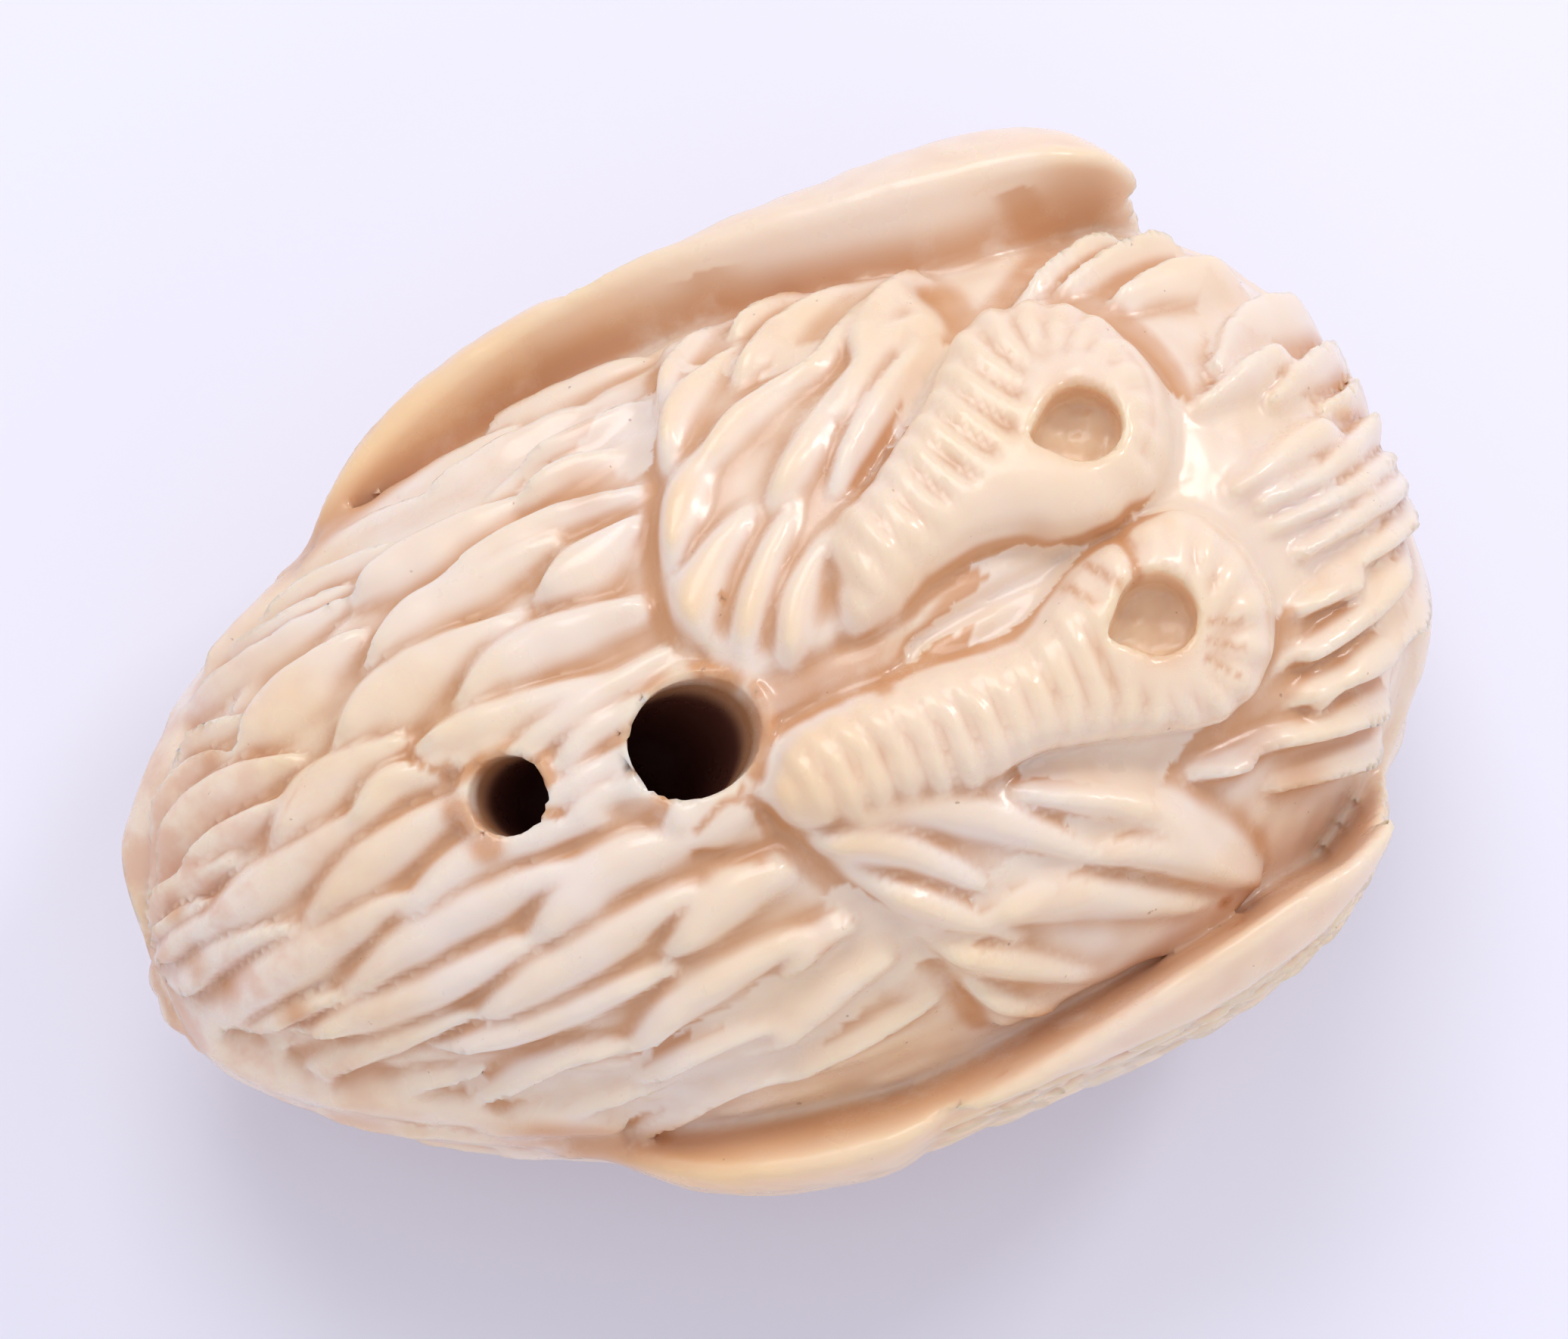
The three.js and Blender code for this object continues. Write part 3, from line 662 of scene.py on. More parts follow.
def body_relief():
    """Everything carved on the body. Both of its ends are worn softer than the rest."""
    relief = Relief(body_outline, -23.0, 23.0, 12.7)
    rng = np.random.default_rng(7)
    lay_feather_rows(relief, rng, (-22.4, 12.0), (-FLANK_ANGLE, FLANK_ANGLE), 2.5, 6.4, level=-0.7)
    for side in (-1, 1):
        rump, flank, breast = (
            sorted((side * angle, side * math.pi)) for angle in (RUMP_ANGLE, FLANK_ANGLE, BREAST_ANGLE))
        lay_feather_rows(relief, rng, (-22.4, -10.0), rump, 2.5, 6.4, level=0.2)
        lay_feather_rows(relief, rng, (-12.0, 10.0), flank, 2.5, 6.4, level=-0.1)
        lay_feather_rows(relief, rng, (15.0, 22.4), breast, 2.6, 5.0, level=-0.2, tips_ahead=True)
    lay_belly_feathers(relief, BELLY_FEATHERS)
    lay_belly_feathers(relief, BREAST_LOBES, LOBE_LEVEL, False, lobed_width, LOBE_DEPTH)
    raise_thigh(relief, THIGH_RIGHT)
    raise_thigh(relief, THIGH_LEFT)
    lay_belly_feathers(relief, THIGH_STRANDS, level=THIGH_RISE)
    for points, width, depth in VALLEYS:
        sink_valley(relief, points, width, depth)
    sink_hollow(relief)
    lay_leg(relief, LEG_RIGHT, LEG_RIGHT_LINE, RIB_LEAN_RIGHT, POCKETS[0][0], CLAW_RIGHT)
    lay_leg(relief, LEG_LEFT, LEG_LEFT_LINE, RIB_LEAN_LEFT, POCKETS[1][0])
    for points, width, depth in FINE_CUTS:
        cut_line(relief, points, width, depth)
    for stain in STAINS:
        add_stain(relief, *stain)
    crisp = blurred(relief.height, 2, 3)
    soft = blurred(relief.height, 2, 6)
    worn = smooth_step(np.abs(relief.x), *WORN_ENDS)[:, None]
    relief.height = crisp * (1.0 - worn) + soft * worn
    relief.height += WAVER * soft_noise(relief, rng, 7)
    relief.height += GRIT * soft_noise(relief, rng, 2) * np.clip(relief.dirt - 0.2, 0.0, 0.5)
    return relief


def wing_relief():
    """Feathers on the outside of the wings, with bare bands along the crests and over the tips."""
    first_x = WING_WIDEST - WING_RIGHT[2]
    last_x = WING_WIDEST + WING_LEFT[1]
    relief = Relief(wing_outline, first_x, last_x, 14.0)
    rng = np.random.default_rng(11)
    spread = np.degrees(np.abs(relief.angle))[None, :]
    tip_end = 1.0 - smooth_step(relief.x, -2.5, 0.5)[:, None]
    bare = np.maximum(1.0 - smooth_step(spread, 64.0, 71.0), tip_end * (spread < 104.0))
    relief.height = 0.7 * GROUND * (1.0 - bare)
    for side in (-1, 1):
        lip, edge, back = (side * math.radians(angle) for angle in (67.0, 104.0, 178.0))
        lay_feather_rows(relief, rng, (-1.5, 17.8), sorted((lip, edge)), 1.5, 4.6, -0.2, bend=0.1)
        lay_feather_rows(relief, rng, (3.0, 18.2), sorted((edge, back)), 2.3, 4.4)
        lay_feather_rows(relief, rng, (-14.8, 7.0), sorted((edge, back)), 2.7, 15.0, -0.15)
    relief.height = blurred(relief.height, 2, 2)
    relief.height += WAVER * soft_noise(relief, rng, 7)
    return relief


# ---------------------------------------------------------------- the solid as a distance field

class Carving:
    """Signed distance to the carving in mm, negative inside."""

    def __init__(self):
        self.body = body_relief()
        self.wing = wing_relief()
        # Maps of the grooves, which tint them with stain and painted shade.
        for relief in (self.body, self.wing):
            relief.groove = groove_map(relief)

    def egg(self, x, y, z):
        distance = x - BODY_WIDEST
        ahead = distance > 0.0
        power = np.where(ahead, BREAST_POWER, TAIL_POWER)
        length = np.where(ahead, BREAST_LENGTH, TAIL_LENGTH)
        high = z - BODY_MIDDLE_Z
        y = y - lean(x)
        drop = np.where(high > 0.0, BELLY_RISE, BACK_DROP)
        u = np.abs(distance) / length
        ring = np.sqrt((y / BODY_HALF_WIDTH) ** 2 + (high / drop) ** 2) + 1e-6
        level = u ** power + ring ** power - 1.0
        slope_x = power * u ** (power - 1) / length
        slope_y = power * ring ** (power - 2) * y / BODY_HALF_WIDTH ** 2
        slope_z = power * ring ** (power - 2) * high / drop ** 2
        return level / (np.sqrt(slope_x ** 2 + slope_y ** 2 + slope_z ** 2) + 1e-3)

    def egg_angle(self, x, y, z):
        high = z - BODY_MIDDLE_Z
        drop = np.where(high > 0.0, BELLY_RISE, BACK_DROP)
        return np.arctan2((y - lean(x)) / BODY_HALF_WIDTH, high / drop)

    def bowl(self, x, y, z):
        right = smooth_step(y, -2.0, 2.0)
        half, front, rear, front_power, rear_power = (
            a + (b - a) * right for a, b in zip(WING_LEFT, WING_RIGHT))
        distance = x - WING_WIDEST
        ahead = distance > 0.0
        power = np.where(ahead, front_power, rear_power)
        length = np.where(ahead, front, rear)
        high = z - WING_MIDDLE_Z
        upper = high > 0.0
        drop = np.where(upper, along_table(BOWL_RISE, x), WING_DEPTH)
        cross = np.where(upper, LIP_POWER, 2.0)
        u = np.abs(distance) / length
        side = np.abs(y) / half
        tall = np.abs(high) / drop
        ring = (side ** cross + tall ** cross + 1e-9) ** (1.0 / cross)
        level = u ** power + ring ** power - 1.0
        slope_ring = power * ring ** (power - 1)
        slope_x = power * u ** (power - 1) / length
        slope_y = slope_ring * (side / ring) ** (cross - 1) / half
        slope_z = slope_ring * (tall / ring) ** (cross - 1) / drop
        return level / (np.sqrt(slope_x ** 2 + slope_y ** 2 + slope_z ** 2) + 1e-3)

    def bowl_angle(self, x, y, z):
        high = z - WING_MIDDLE_Z
        drop = np.where(high > 0.0, along_table(BOWL_RISE, x), WING_DEPTH)
        return np.arctan2(y / WING_RIGHT[0], high / drop)

    def groove_line(self, x, y):
        """Distance from the middle to the groove between belly and wing, on the side of y."""
        table = np.where(y > 0.0, along_table(GROOVE_RIGHT, x), along_table(GROOVE_LEFT, x))
        half = BODY_HALF_WIDTH * np.maximum(body_outline(x), 0.1) + np.sign(y) * lean(x)
        return np.minimum(table, 0.965 * half)

    def lip(self, x, y, z):
        """Inner face of the wing lip: the space above it is open."""
        groove_y = self.groove_line(x, y)
        groove_z = belly_height(x, np.sign(y) * groove_y) - GROOVE_DEPTH
        crest_y = along_table(CREST, x)
        crest_z = along_table(CREST, x, 2)
        steep = (crest_z - groove_z) / np.maximum(crest_y - groove_y, 0.6)
        floor = groove_z + steep * (np.abs(y) - groove_y)
        return (z - floor) / np.hypot(1.0, steep)

    def plain(self, x, y, z):
        return np.minimum(self.egg(x, y, z), np.maximum(self.bowl(x, y, z), self.lip(x, y, z)))

    def at(self, points):
        x, y, z = points[:, 0], points[:, 1], points[:, 2]
        head = ellipsoid(points, HEAD_CENTRE, HEAD_RADII)
        carved = self.body.sample(self.body.height, x, self.egg_angle(x, y, z))
        rim = self.bore_rim(points)
        body = self.egg(x, y, z) - carved * (1.0 - rim) - RIM_LEVEL * rim
        body += NECK_DEPTH * np.exp(-((head - 0.5) / NECK_WIDTH) ** 2)
        wing = self.bowl(x, y, z) - self.wing.sample(self.wing.height, x, self.bowl_angle(x, y, z))
        wing = smooth_max(wing, self.lip(x, y, z), LIP_BLEND)
        result = smooth_min(body, wing, WING_ROOT_BLEND)
        result = smooth_min(result, head + head_feathers(points), HEAD_BLEND)
        bill = tapered_bar(points, BEAK_BASE, BEAK_TIP, BEAK_BASE_RADIUS, BEAK_TIP_RADIUS)
        result = smooth_min(result, bill, BEAK_BLEND)
        result = smooth_min(result, tail_fan(points), TAIL_BLEND)
        parting = tapered_bar(points, WING_PARTING_START, WING_PARTING_END,
                              WING_PARTING_RADIUS, WING_PARTING_RADIUS)
        result = smooth_max(result, -parting, PARTING_BLEND)
        for mouth, radius in BORES:
            result = smooth_max(result, -cord_bore(points, mouth, radius), BORE_BLEND)
        for centre, corner in POCKETS:
            result = smooth_max(result, -foot_pocket(points, centre, corner), POCKET_BLEND)
        for side in (-1, 1):
            result = np.maximum(result, -eye_socket(points, side))
        return smooth_max(result, -z, FLOOR_BLEND)

    def shade(self, points, kind):
        """Value of a painted map, such as dirt, on the form that each point belongs to."""
        x, y, z = points[:, 0], points[:, 1], points[:, 2]
        body = self.body.sample(getattr(self.body, kind), x, self.egg_angle(x, y, z))
        wing = self.wing.sample(getattr(self.wing, kind), x, self.bowl_angle(x, y, z))
        on_wing = np.abs(self.bowl(x, y, z)) < np.abs(self.egg(x, y, z))
        return np.where(on_wing, wing, body)

    def on_lip(self, points):
        """1 on the smooth inner face of a wing lip."""
        x, y, z = points[:, 0], points[:, 1], points[:, 2]
        near = 1.0 - smooth_step(np.abs(self.lip(x, y, z)), 0.3, 0.8)
        return near * (np.abs(y) > self.groove_line(x, y))

    def crevice_shade(self, points):
        """Painted shade: 1 deep in the groove beside a wing, fading up the smooth inner face of its
        lip.
        """
        x, y, z = points[:, 0], points[:, 1], points[:, 2]
        gap = np.abs(y) - self.groove_line(x, y)
        fade = np.where(gap > 0.0, smooth_step(gap, 0.1, 1.9), smooth_step(-gap, 0.0, 0.9))
        ends = smooth_step(x, -16.0, -12.0) * (1.0 - smooth_step(x, 16.0, 18.5))
        return (1.0 - fade) * ends * smooth_step(z, 10.0, 12.0)

    def lip_glow_and_pocket_amber(self, points):
        """1 on the thin wing lips near the tail, as a painted glow of light through them, and high in
        the foot pockets as an amber tint.
        """
        x, y, z = points[:, 0], points[:, 1], points[:, 2]
        on_wing = smooth_step(self.egg(x, y, z), -0.1, 0.4) * smooth_step(z, 8.0, 12.0)
        glow = on_wing * (1.0 - 0.75 * smooth_step(x, -4.0, 6.0))
        for centre, corner in POCKETS:
            wall = smooth_step(foot_pocket(points, centre, corner), 0.0, 0.5)
            glow = np.maximum(glow, POCKET_AMBER * (1.0 - wall) * smooth_step(z, 18.0, 19.0))
        return glow

    def bore_rim(self, points):
        """1 at the mouths of the cord bores, where use has worn the feathers flat."""
        gap = np.minimum(*(cord_bore(points, mouth, radius) for mouth, radius in BORES))
        return 1.0 - smooth_step(gap, 0.1, RIM_WIDTH)

    def bore_depth(self, points):
        """0 outside the cord bores, rising to 1 a few millimetres down: painted shade inside them."""
        x, y, z = points[:, 0], points[:, 1], points[:, 2]
        inside = np.zeros(len(points))
        for mouth, radius in BORES:
            wall = 1.0 - smooth_step(cord_bore(points, mouth, radius), 0.1, 0.35)
            inside = np.maximum(inside, wall)
        return inside * smooth_step(-self.egg(x, y, z), 0.5, 3.2)


def groove_map(relief):
    """How far each place lies below its surroundings, from 0 to 1. It tints the grooves with stain and
    painted shade.
    """
    return np.clip((blurred(relief.height, 3, 7) - relief.height) / 0.55 + 0.12, 0.0, 1.0)


def smooth_min(a, b, blend):
    mixed = np.clip(0.5 + 0.5 * (b - a) / blend, 0.0, 1.0)
    return b * (1 - mixed) + a * mixed - blend * mixed * (1 - mixed)


def smooth_max(a, b, blend):
    return -smooth_min(-a, -b, blend)


def ellipsoid(points, centre, radii):
    scaled = (points - centre) / radii
    near = np.linalg.norm(scaled, axis=1)
    steep = np.linalg.norm(scaled / radii, axis=1) + 1e-9
    return near * (near - 1.0) / steep


def head_feathers(points):
    """Shallow wavy furrows that run back from the beak."""
    offset = points - HEAD_CENTRE
    around = np.arctan2(offset[:, 1], offset[:, 2])
    wave = np.sin(HEAD_FURROWS * around + 1.1 * np.sin(1.7 * offset[:, 0]))
    return HEAD_FURROW * (1.0 - np.abs(wave)) ** 1.5


def tapered_bar(points, start, end, start_radius, end_radius):
    span = end - start
    t = np.clip((points - start) @ span / (span @ span), 0.0, 1.0)
    nearest = start + t[:, None] * span
    return np.linalg.norm(points - nearest, axis=1) - (start_radius + t * (end_radius - start_radius))


def tail_fan(points):
    c, s = math.cos(TAIL_PITCH), math.sin(TAIL_PITCH)
    offset = points - TAIL_CENTRE
    turned = np.column_stack([
        c * offset[:, 0] - s * offset[:, 2], offset[:, 1], s * offset[:, 0] + c * offset[:, 2]])
    ridge = TAIL_RIDGE * np.abs(np.sin(turned[:, 1] * math.pi / TAIL_RIDGE_PITCH))
    return ellipsoid(turned, np.zeros(3), TAIL_RADII) - ridge


def cord_bore(points, mouth, radius):
    top = np.array([mouth[0], mouth[1], float(belly_height(mouth[0], mouth[1]))])
    outward = (top - BORE_MEETING) / np.linalg.norm(top - BORE_MEETING)
    return tapered_bar(points, BORE_MEETING, top + 6.0 * outward, radius, radius)


def foot_pocket(points, centre, corner):
    """Blind drop-shaped pocket, cut straight down to an uneven floor."""
    x, y, z = points[:, 0], points[:, 1], points[:, 2]
    ring = np.hypot(x - centre[0], y - centre[1]) - POCKET_RADIUS
    point = np.hypot(x - corner[0], y - corner[1]) - 0.1
    floor = float(belly_height(*centre)) + LEG_RISE - POCKET_DEPTH
    floor = floor + POCKET_RIPPLE * np.sin(4.0 * x + 1.5 * y) * np.sin(5.0 * y)
    return smooth_max(smooth_min(ring, point, 1.1), floor - z, 0.5)


def eye_socket(points, side):
    direction = EYE_DIRECTION / np.linalg.norm(EYE_DIRECTION) * np.array([1, side, 1])
    surface = HEAD_CENTRE + direction * HEAD_RADII
    offset = points - surface
    deep = offset @ direction
    across = np.linalg.norm(offset - deep[:, None] * direction, axis=1)
    return np.maximum(across - EYE_SOCKET_RADIUS, -EYE_SOCKET_DEPTH - deep)


# ---------------------------------------------------------------- meshing

def sample_grid(carving, low, counts):
    """Field values on a regular grid, with the full carving worked out only near its surface."""
    ys = low[1] + VOXEL * np.arange(counts[1])
    zs = low[2] + VOXEL * np.arange(counts[2])
    y, z = np.meshgrid(ys, zs, indexing="ij")
    values = np.empty(counts, np.float32)
    for i in range(counts[0]):
        x = np.full(y.shape, low[0] + VOXEL * i)
        plain = carving.plain(x, y, z)
        points = np.column_stack([x.ravel(), y.ravel(), z.ravel()])
        near = np.abs(plain.ravel()) < RELIEF_REACH
        near |= points[:, 2] < HEAD_ZONE_TOP
        near |= (np.abs(points[:, :2] - BORE_ZONE_CENTRE) < BORE_ZONE_HALF).all(axis=1)
        level = plain.ravel().copy()
        if near.any():
            level[near] = carving.at(points[near])
        values[i] = level.reshape(y.shape)
    return values


CORNERS = np.array([(i, j, k) for i in (0, 1) for j in (0, 1) for k in (0, 1)])
CELL_EDGES = [(a, b) for a in range(8) for b in range(a + 1, 8)
              if np.abs(CORNERS[a] - CORNERS[b]).sum() == 1]


def surface_nets(values, low):
    """One vertex in each cell that the surface crosses, and one quad on each crossed grid edge."""
    inside = values < 0.0
    shape = np.array(values.shape) - 1
    count = np.zeros(shape, np.int8)
    for i, j, k in CORNERS:
        count += inside[i:i + shape[0], j:j + shape[1], k:k + shape[2]]
    active = np.argwhere((count > 0) & (count < 8))
    ids = np.full(shape, -1, np.int64)
    ids[tuple(active.T)] = np.arange(len(active))
    corner_values = np.stack([values[tuple((active + c).T)] for c in CORNERS], 1)
    total = np.zeros((len(active), 3))
    hits = np.zeros(len(active))
    for a, b in CELL_EDGES:
        va, vb = corner_values[:, a], corner_values[:, b]
        crosses = (va < 0) != (vb < 0)
        t = np.where(crosses, va / np.where(crosses, va - vb, 1.0), 0.0)
        point = CORNERS[a] + t[:, None] * (CORNERS[b] - CORNERS[a])
        total += np.where(crosses[:, None], point, 0.0)
        hits += crosses
    vertices = low + VOXEL * (active + total / hits[:, None])
    quads = []
    for axis in range(3):
        first, second = (axis + 1) % 3, (axis + 2) % 3
        step = np.eye(3, dtype=int)
        ahead = np.roll(inside, -1, axis=axis)
        changes = inside != ahead
        edges = np.argwhere(changes)
        keep = (edges[:, axis] < shape[axis])
        keep &= (edges[:, first] > 0) & (edges[:, second] > 0)
        keep &= (edges[:, first] < shape[first]) & (edges[:, second] < shape[second])
        edges = edges[keep]
        around = [edges - step[first] - step[second], edges - step[second], edges,
                  edges - step[first]]
        quad = np.stack([ids[tuple(cell.T)] for cell in around], 1)
        outward = inside[tuple(edges.T)]
        quad[~outward] = quad[~outward][:, ::-1]
        quads.append(quad)
    return vertices, np.vstack(quads)


def settle(carving, points):
    """Moves points on to the carved surface along its slope."""
    level = carving.at(points)
    slope = np.empty_like(points)
    for axis in range(3):
        step = np.zeros(3)
        step[axis] = PROBE
        slope[:, axis] = (carving.at(points + step) - carving.at(points - step)) / (2 * PROBE)
    steep = (slope ** 2).sum(1)
    move = -(level / np.maximum(steep, GENTLEST_SLOPE))[:, None] * slope
    size = np.linalg.norm(move, axis=1)
    limit = np.minimum(1.0, LONGEST_MOVE / np.maximum(size, 1e-9))
    return points + move * limit[:, None]


def build_mesh(name, vertices, faces):
    mesh = bpy.data.meshes.new(name)
    mesh.vertices.add(len(vertices))
    mesh.vertices.foreach_set("co", (vertices * MM).astype(np.float32).ravel())
    mesh.loops.add(faces.size)
    mesh.loops.foreach_set("vertex_index", faces.astype(np.int32).ravel())
    mesh.polygons.add(len(faces))
    mesh.polygons.foreach_set("loop_start", np.arange(0, faces.size, 4, dtype=np.int32))
    mesh.polygons.foreach_set("use_smooth", np.ones(len(faces), bool))
    mesh.update(calc_edges=True)
    mesh.validate()
    piece = bpy.data.objects.new(name, mesh)
    bpy.context.scene.collection.objects.link(piece)
    return piece


def store(piece, name, values):
    attribute = piece.data.attributes.new(name, "FLOAT", "POINT")
    attribute.data.foreach_set("value", values.astype(np.float32))


def sculpt_carving():
    carving = Carving()
    counts = tuple(np.ceil((GRID_HIGH - GRID_LOW) / VOXEL).astype(int) + 1)
    values = sample_grid(carving, GRID_LOW, counts)
    vertices, faces = surface_nets(values, GRID_LOW)
    vertices = settle(carving, vertices)
    piece = build_mesh("quail_carving", vertices, faces)
    # Grooves get stain and painted shade; the groove beside each wing gets painted shade alone.
    groove = carving.shade(vertices, "groove") * (1.0 - carving.on_lip(vertices))
    groove = np.maximum(groove, CREVICE_SHADE_STRENGTH * carving.crevice_shade(vertices))
    store(piece, "groove", groove)
    store(piece, "dirt", carving.shade(vertices, "dirt"))
    store(piece, "bore_shade", carving.bore_depth(vertices))
    store(piece, "lip_glow_and_pocket_amber", carving.lip_glow_and_pocket_amber(vertices))
    return piece


# ---------------------------------------------------------------- materials

CREAM_LIGHT = (0.90, 0.77, 0.68)
CREAM_DEEP = (0.90, 0.70, 0.50)
AMBER_GLOW = (0.93, 0.55, 0.17)
TAN = (0.66, 0.33, 0.155)
ROSE = (0.74, 0.40, 0.26)
RUSSET = (0.44, 0.19, 0.085)
BROWN = (0.24, 0.085, 0.04)
BORE_SHADE = (0.085, 0.022, 0.018)


def new_material(name):
    material = bpy.data.materials.new(name)
    material.use_nodes = True
    tree = material.node_tree
    tree.nodes.clear()
    output = tree.nodes.new("ShaderNodeOutputMaterial")
    shader = tree.nodes.new("ShaderNodeBsdfPrincipled")
    tree.links.new(shader.outputs["BSDF"], output.inputs["Surface"])
    return material, tree, shader


def ramp(tree, stops):
    node = tree.nodes.new("ShaderNodeValToRGB")
    elements = node.color_ramp.elements
    while len(elements) < len(stops):
        elements.new(0.5)
    for element, (place, colour) in zip(elements, stops):
        element.position = place
        element.color = (*colour, 1.0)
    return node


def noise(tree, coordinates, scale, detail, roughness=0.55):
    node = tree.nodes.new("ShaderNodeTexNoise")
    node.inputs["Scale"].default_value = scale
    node.inputs["Detail"].default_value = detail
    node.inputs["Roughness"].default_value = roughness
    tree.links.new(coordinates, node.inputs["Vector"])
    return node


def attribute(tree, name):
    node = tree.nodes.new("ShaderNodeAttribute")
    node.attribute_name = name
    return node.outputs["Fac"]


def stretch(tree, value, low, high, strength=1.0):
    """A value from low to high, turned into 0 to strength."""
    node = tree.nodes.new("ShaderNodeMapRange")
    node.interpolation_type = "SMOOTHSTEP"
    node.inputs["From Min"].default_value = low
    node.inputs["From Max"].default_value = high
    node.inputs["To Max"].default_value = strength
    tree.links.new(value, node.inputs["Value"])
    return node.outputs["Result"]


def times(tree, first, second):
    node = tree.nodes.new("ShaderNodeMath")
    node.operation = "MULTIPLY"
    tree.links.new(first, node.inputs[0])
    tree.links.new(second, node.inputs[1])
    return node.outputs["Value"]


def tint(tree, under, colour, amount):
    """The colour laid over another by an amount."""
    node = tree.nodes.new("ShaderNodeMix")
    node.data_type = "RGBA"
    node.inputs["B"].default_value = (*colour, 1.0)
    tree.links.new(under, node.inputs["A"])
    tree.links.new(amount, node.inputs["Factor"])
    return node.outputs["Result"]


def ivory_material():
    material, tree, shader = new_material("polished_ivory")
    place = tree.nodes.new("ShaderNodeTexCoord").outputs["Object"]
    axes = tree.nodes.new("ShaderNodeSeparateXYZ")
    tree.links.new(place, axes.inputs["Vector"])
    clouds = noise(tree, place, 160.0, 3.0).outputs["Fac"]
    patches = noise(tree, place, 420.0, 4.0).outputs["Fac"]
    specks = noise(tree, place, 2600.0, 2.0).outputs["Fac"]
    groove = attribute(tree, "groove")
    dirt = attribute(tree, "dirt")

    base = ramp(tree, [(0.32, CREAM_DEEP), (0.66, CREAM_LIGHT)])
    tree.links.new(clouds, base.inputs["Fac"])
    colour = base.outputs["Color"]
    # Painted glow of light through the thin wing lips, and an amber tint high in the foot pockets.
    colour = tint(tree, colour, AMBER_GLOW, times(tree, attribute(tree, "lip_glow_and_pocket_amber"), stretch(
        tree, clouds, 0.2, 0.7, 0.6)))
    # Tan over the grooves and their shaded sides: stain with painted shade.
    colour = tint(tree, colour, TAN, times(tree, stretch(tree, groove, 0.04, 0.5, 0.92), stretch(
        tree, patches, 0.1, 0.5)))
    tail = stretch(tree, axes.outputs["X"], -0.0125, -0.021, 0.55)
    colour = tint(tree, colour, ROSE, times(tree, tail, stretch(tree, patches, 0.42, 0.62)))
    # Russet deepest in the grooves: stain with painted shade.
    colour = tint(tree, colour, RUSSET, times(tree, stretch(tree, groove, 0.55, 1.0, 0.6), stretch(
        tree, patches, 0.42, 0.62)))
    colour = tint(tree, colour, TAN, times(tree, stretch(tree, dirt, 0.05, 0.5, 0.85), stretch(
        tree, patches, 0.1, 0.5)))
    colour = tint(tree, colour, BROWN, times(tree, stretch(tree, dirt, 0.5, 1.0, 0.85), stretch(
        tree, patches, 0.2, 0.5)))
    colour = tint(tree, colour, BROWN, stretch(tree, specks, 0.74, 0.80, 0.45))
    # Painted shade down the cord bores: russet near the mouth, near black deeper in.
    bore_shade = attribute(tree, "bore_shade")
    colour = tint(tree, colour, RUSSET, stretch(tree, bore_shade, 0.0, 0.25, 0.9))
    colour = tint(tree, colour, BORE_SHADE, stretch(tree, bore_shade, 0.35, 1.0, 0.93))
    tree.links.new(colour, shader.inputs["Base Color"])

    gloss = ramp(tree, [(0.35, (0.24, 0.24, 0.24)), (0.7, (0.40, 0.40, 0.40))])
    tree.links.new(patches, gloss.inputs["Fac"])
    tree.links.new(gloss.outputs["Color"], shader.inputs["Roughness"])
    shader.inputs["Subsurface Weight"].default_value = 0.4
    shader.inputs["Subsurface Radius"].default_value = (1.0, 0.55, 0.25)
    shader.inputs["Subsurface Scale"].default_value = 0.0011
    shader.inputs["Coat Weight"].default_value = 0.3
    shader.inputs["Coat Roughness"].default_value = 0.12
    scratches = noise(tree, place, 5200.0, 3.0, 0.7)
    bump = tree.nodes.new("ShaderNodeBump")
    bump.inputs["Strength"].default_value = 0.08
    bump.inputs["Distance"].default_value = 0.00005
    tree.links.new(scratches.outputs["Fac"], bump.inputs["Height"])
    tree.links.new(bump.outputs["Normal"], shader.inputs["Normal"])
    return material


def horn_material():
    material, tree, shader = new_material("dark_horn")
    place = tree.nodes.new("ShaderNodeTexCoord").outputs["Object"]
    grain = noise(tree, place, 900.0, 4.0)
    tone = ramp(tree, [(0.35, (0.010, 0.006, 0.004)), (0.7, (0.045, 0.022, 0.012))])
    tree.links.new(grain.outputs["Fac"], tone.inputs["Fac"])
    tree.links.new(tone.outputs["Color"], shader.inputs["Base Color"])
    shader.inputs["Roughness"].default_value = 0.18
    shader.inputs["Coat Weight"].default_value = 0.6
    return material


# ---------------------------------------------------------------- stage

FLOOR_COLOUR = (0.85, 0.85, 0.97)
FLOOR_HALF = 1.2
SKY_COLOUR = (0.93, 0.93, 1.0)
SKY_STRENGTH = 0.76


def add_floor():
    material, tree, shader = new_material("pale_floor")
    shader.inputs["Base Color"].default_value = (*FLOOR_COLOUR, 1.0)
    shader.inputs["Roughness"].default_value = 0.45
    mesh = bpy.data.meshes.new("floor")
    half = FLOOR_HALF
    mesh.from_pydata([(-half, -half, 0), (half, -half, 0), (half, half, 0), (-half, half, 0)],
                     [], [(0, 1, 2, 3)])
    mesh.materials.append(material)
    floor = bpy.data.objects.new("floor", mesh)
    bpy.context.scene.collection.objects.link(floor)


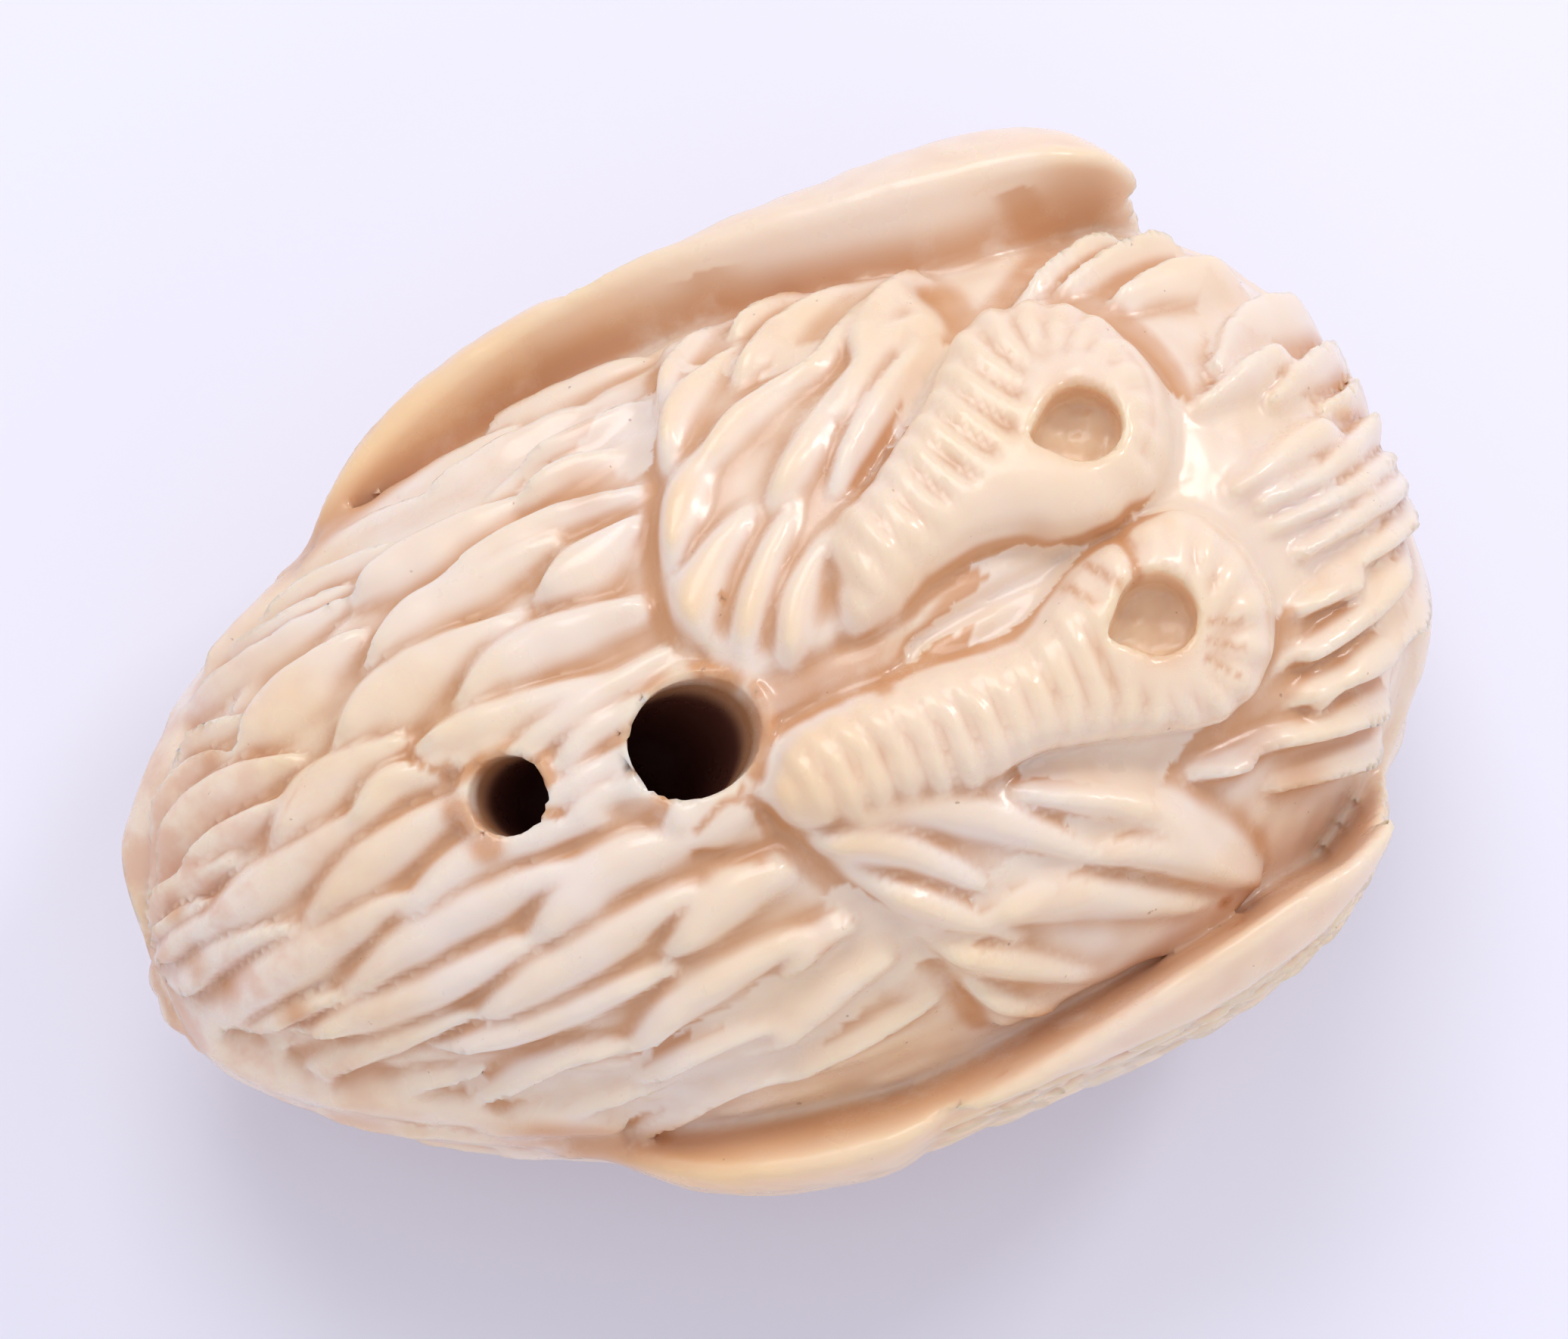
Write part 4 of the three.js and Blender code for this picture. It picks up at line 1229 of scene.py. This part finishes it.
def add_area_light(name, place, size, power, colour):
    data = bpy.data.lights.new(name, "AREA")
    data.size = size
    data.energy = power
    data.color = colour
    light = bpy.data.objects.new(name, data)
    light.location = place
    aim = -light.location
    light.rotation_euler = aim.to_track_quat("-Z", "Y").to_euler()
    bpy.context.scene.collection.objects.link(light)


def add_lights():
    add_area_light("key", (0.11, 0.57, 0.80), 0.50, 2.55, (1.0, 0.985, 0.97))
    add_area_light("fill", (0.05, -0.60, 0.30), 0.50, 0.3, (1.0, 0.98, 0.96))
    add_area_light("glint", (0.30, 0.10, 0.30), 0.08, 0.3, (1.0, 1.0, 1.0))
    world = bpy.data.worlds.new("soft_studio")
    world.use_nodes = True
    background = world.node_tree.nodes["Background"]
    background.inputs["Color"].default_value = (*SKY_COLOUR, 1.0)
    background.inputs["Strength"].default_value = SKY_STRENGTH
    bpy.context.scene.world = world
    bpy.context.scene.view_settings.view_transform = "Standard"


CAMERA_AZIMUTH = math.radians(-22.4)
CAMERA_ELEVATION = math.radians(77.0)
CAMERA_TARGET = (0.6, 1.03, 14.0)
CAMERA_DISTANCE = 216.4
CAMERA_LENS = 150.0


def add_camera():
    data = bpy.data.cameras.new("camera")
    data.lens = CAMERA_LENS
    data.sensor_width = 36.0
    data.clip_start = 0.01
    camera = bpy.data.objects.new("camera", data)
    back = Vector((
        math.sin(CAMERA_AZIMUTH) * math.cos(CAMERA_ELEVATION),
        -math.cos(CAMERA_AZIMUTH) * math.cos(CAMERA_ELEVATION),
        math.sin(CAMERA_ELEVATION)))
    camera.location = (Vector(CAMERA_TARGET) + back * CAMERA_DISTANCE) * MM
    camera.rotation_euler = (-back).to_track_quat("-Z", "Y").to_euler()
    bpy.context.scene.collection.objects.link(camera)
    bpy.context.scene.camera = camera


# ---------------------------------------------------------------- the scene

add_camera()
add_floor()
add_lights()

quail = sculpt_carving()
quail.data.materials.append(ivory_material())
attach(quail, "root")
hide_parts("carved_body")

horn = horn_material()
for node in ("right_eye_inlay", "left_eye_inlay"):
    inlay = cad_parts[node]
    inlay.data.materials.clear()
    inlay.data.materials.append(horn)

bpy.context.view_layer.update()
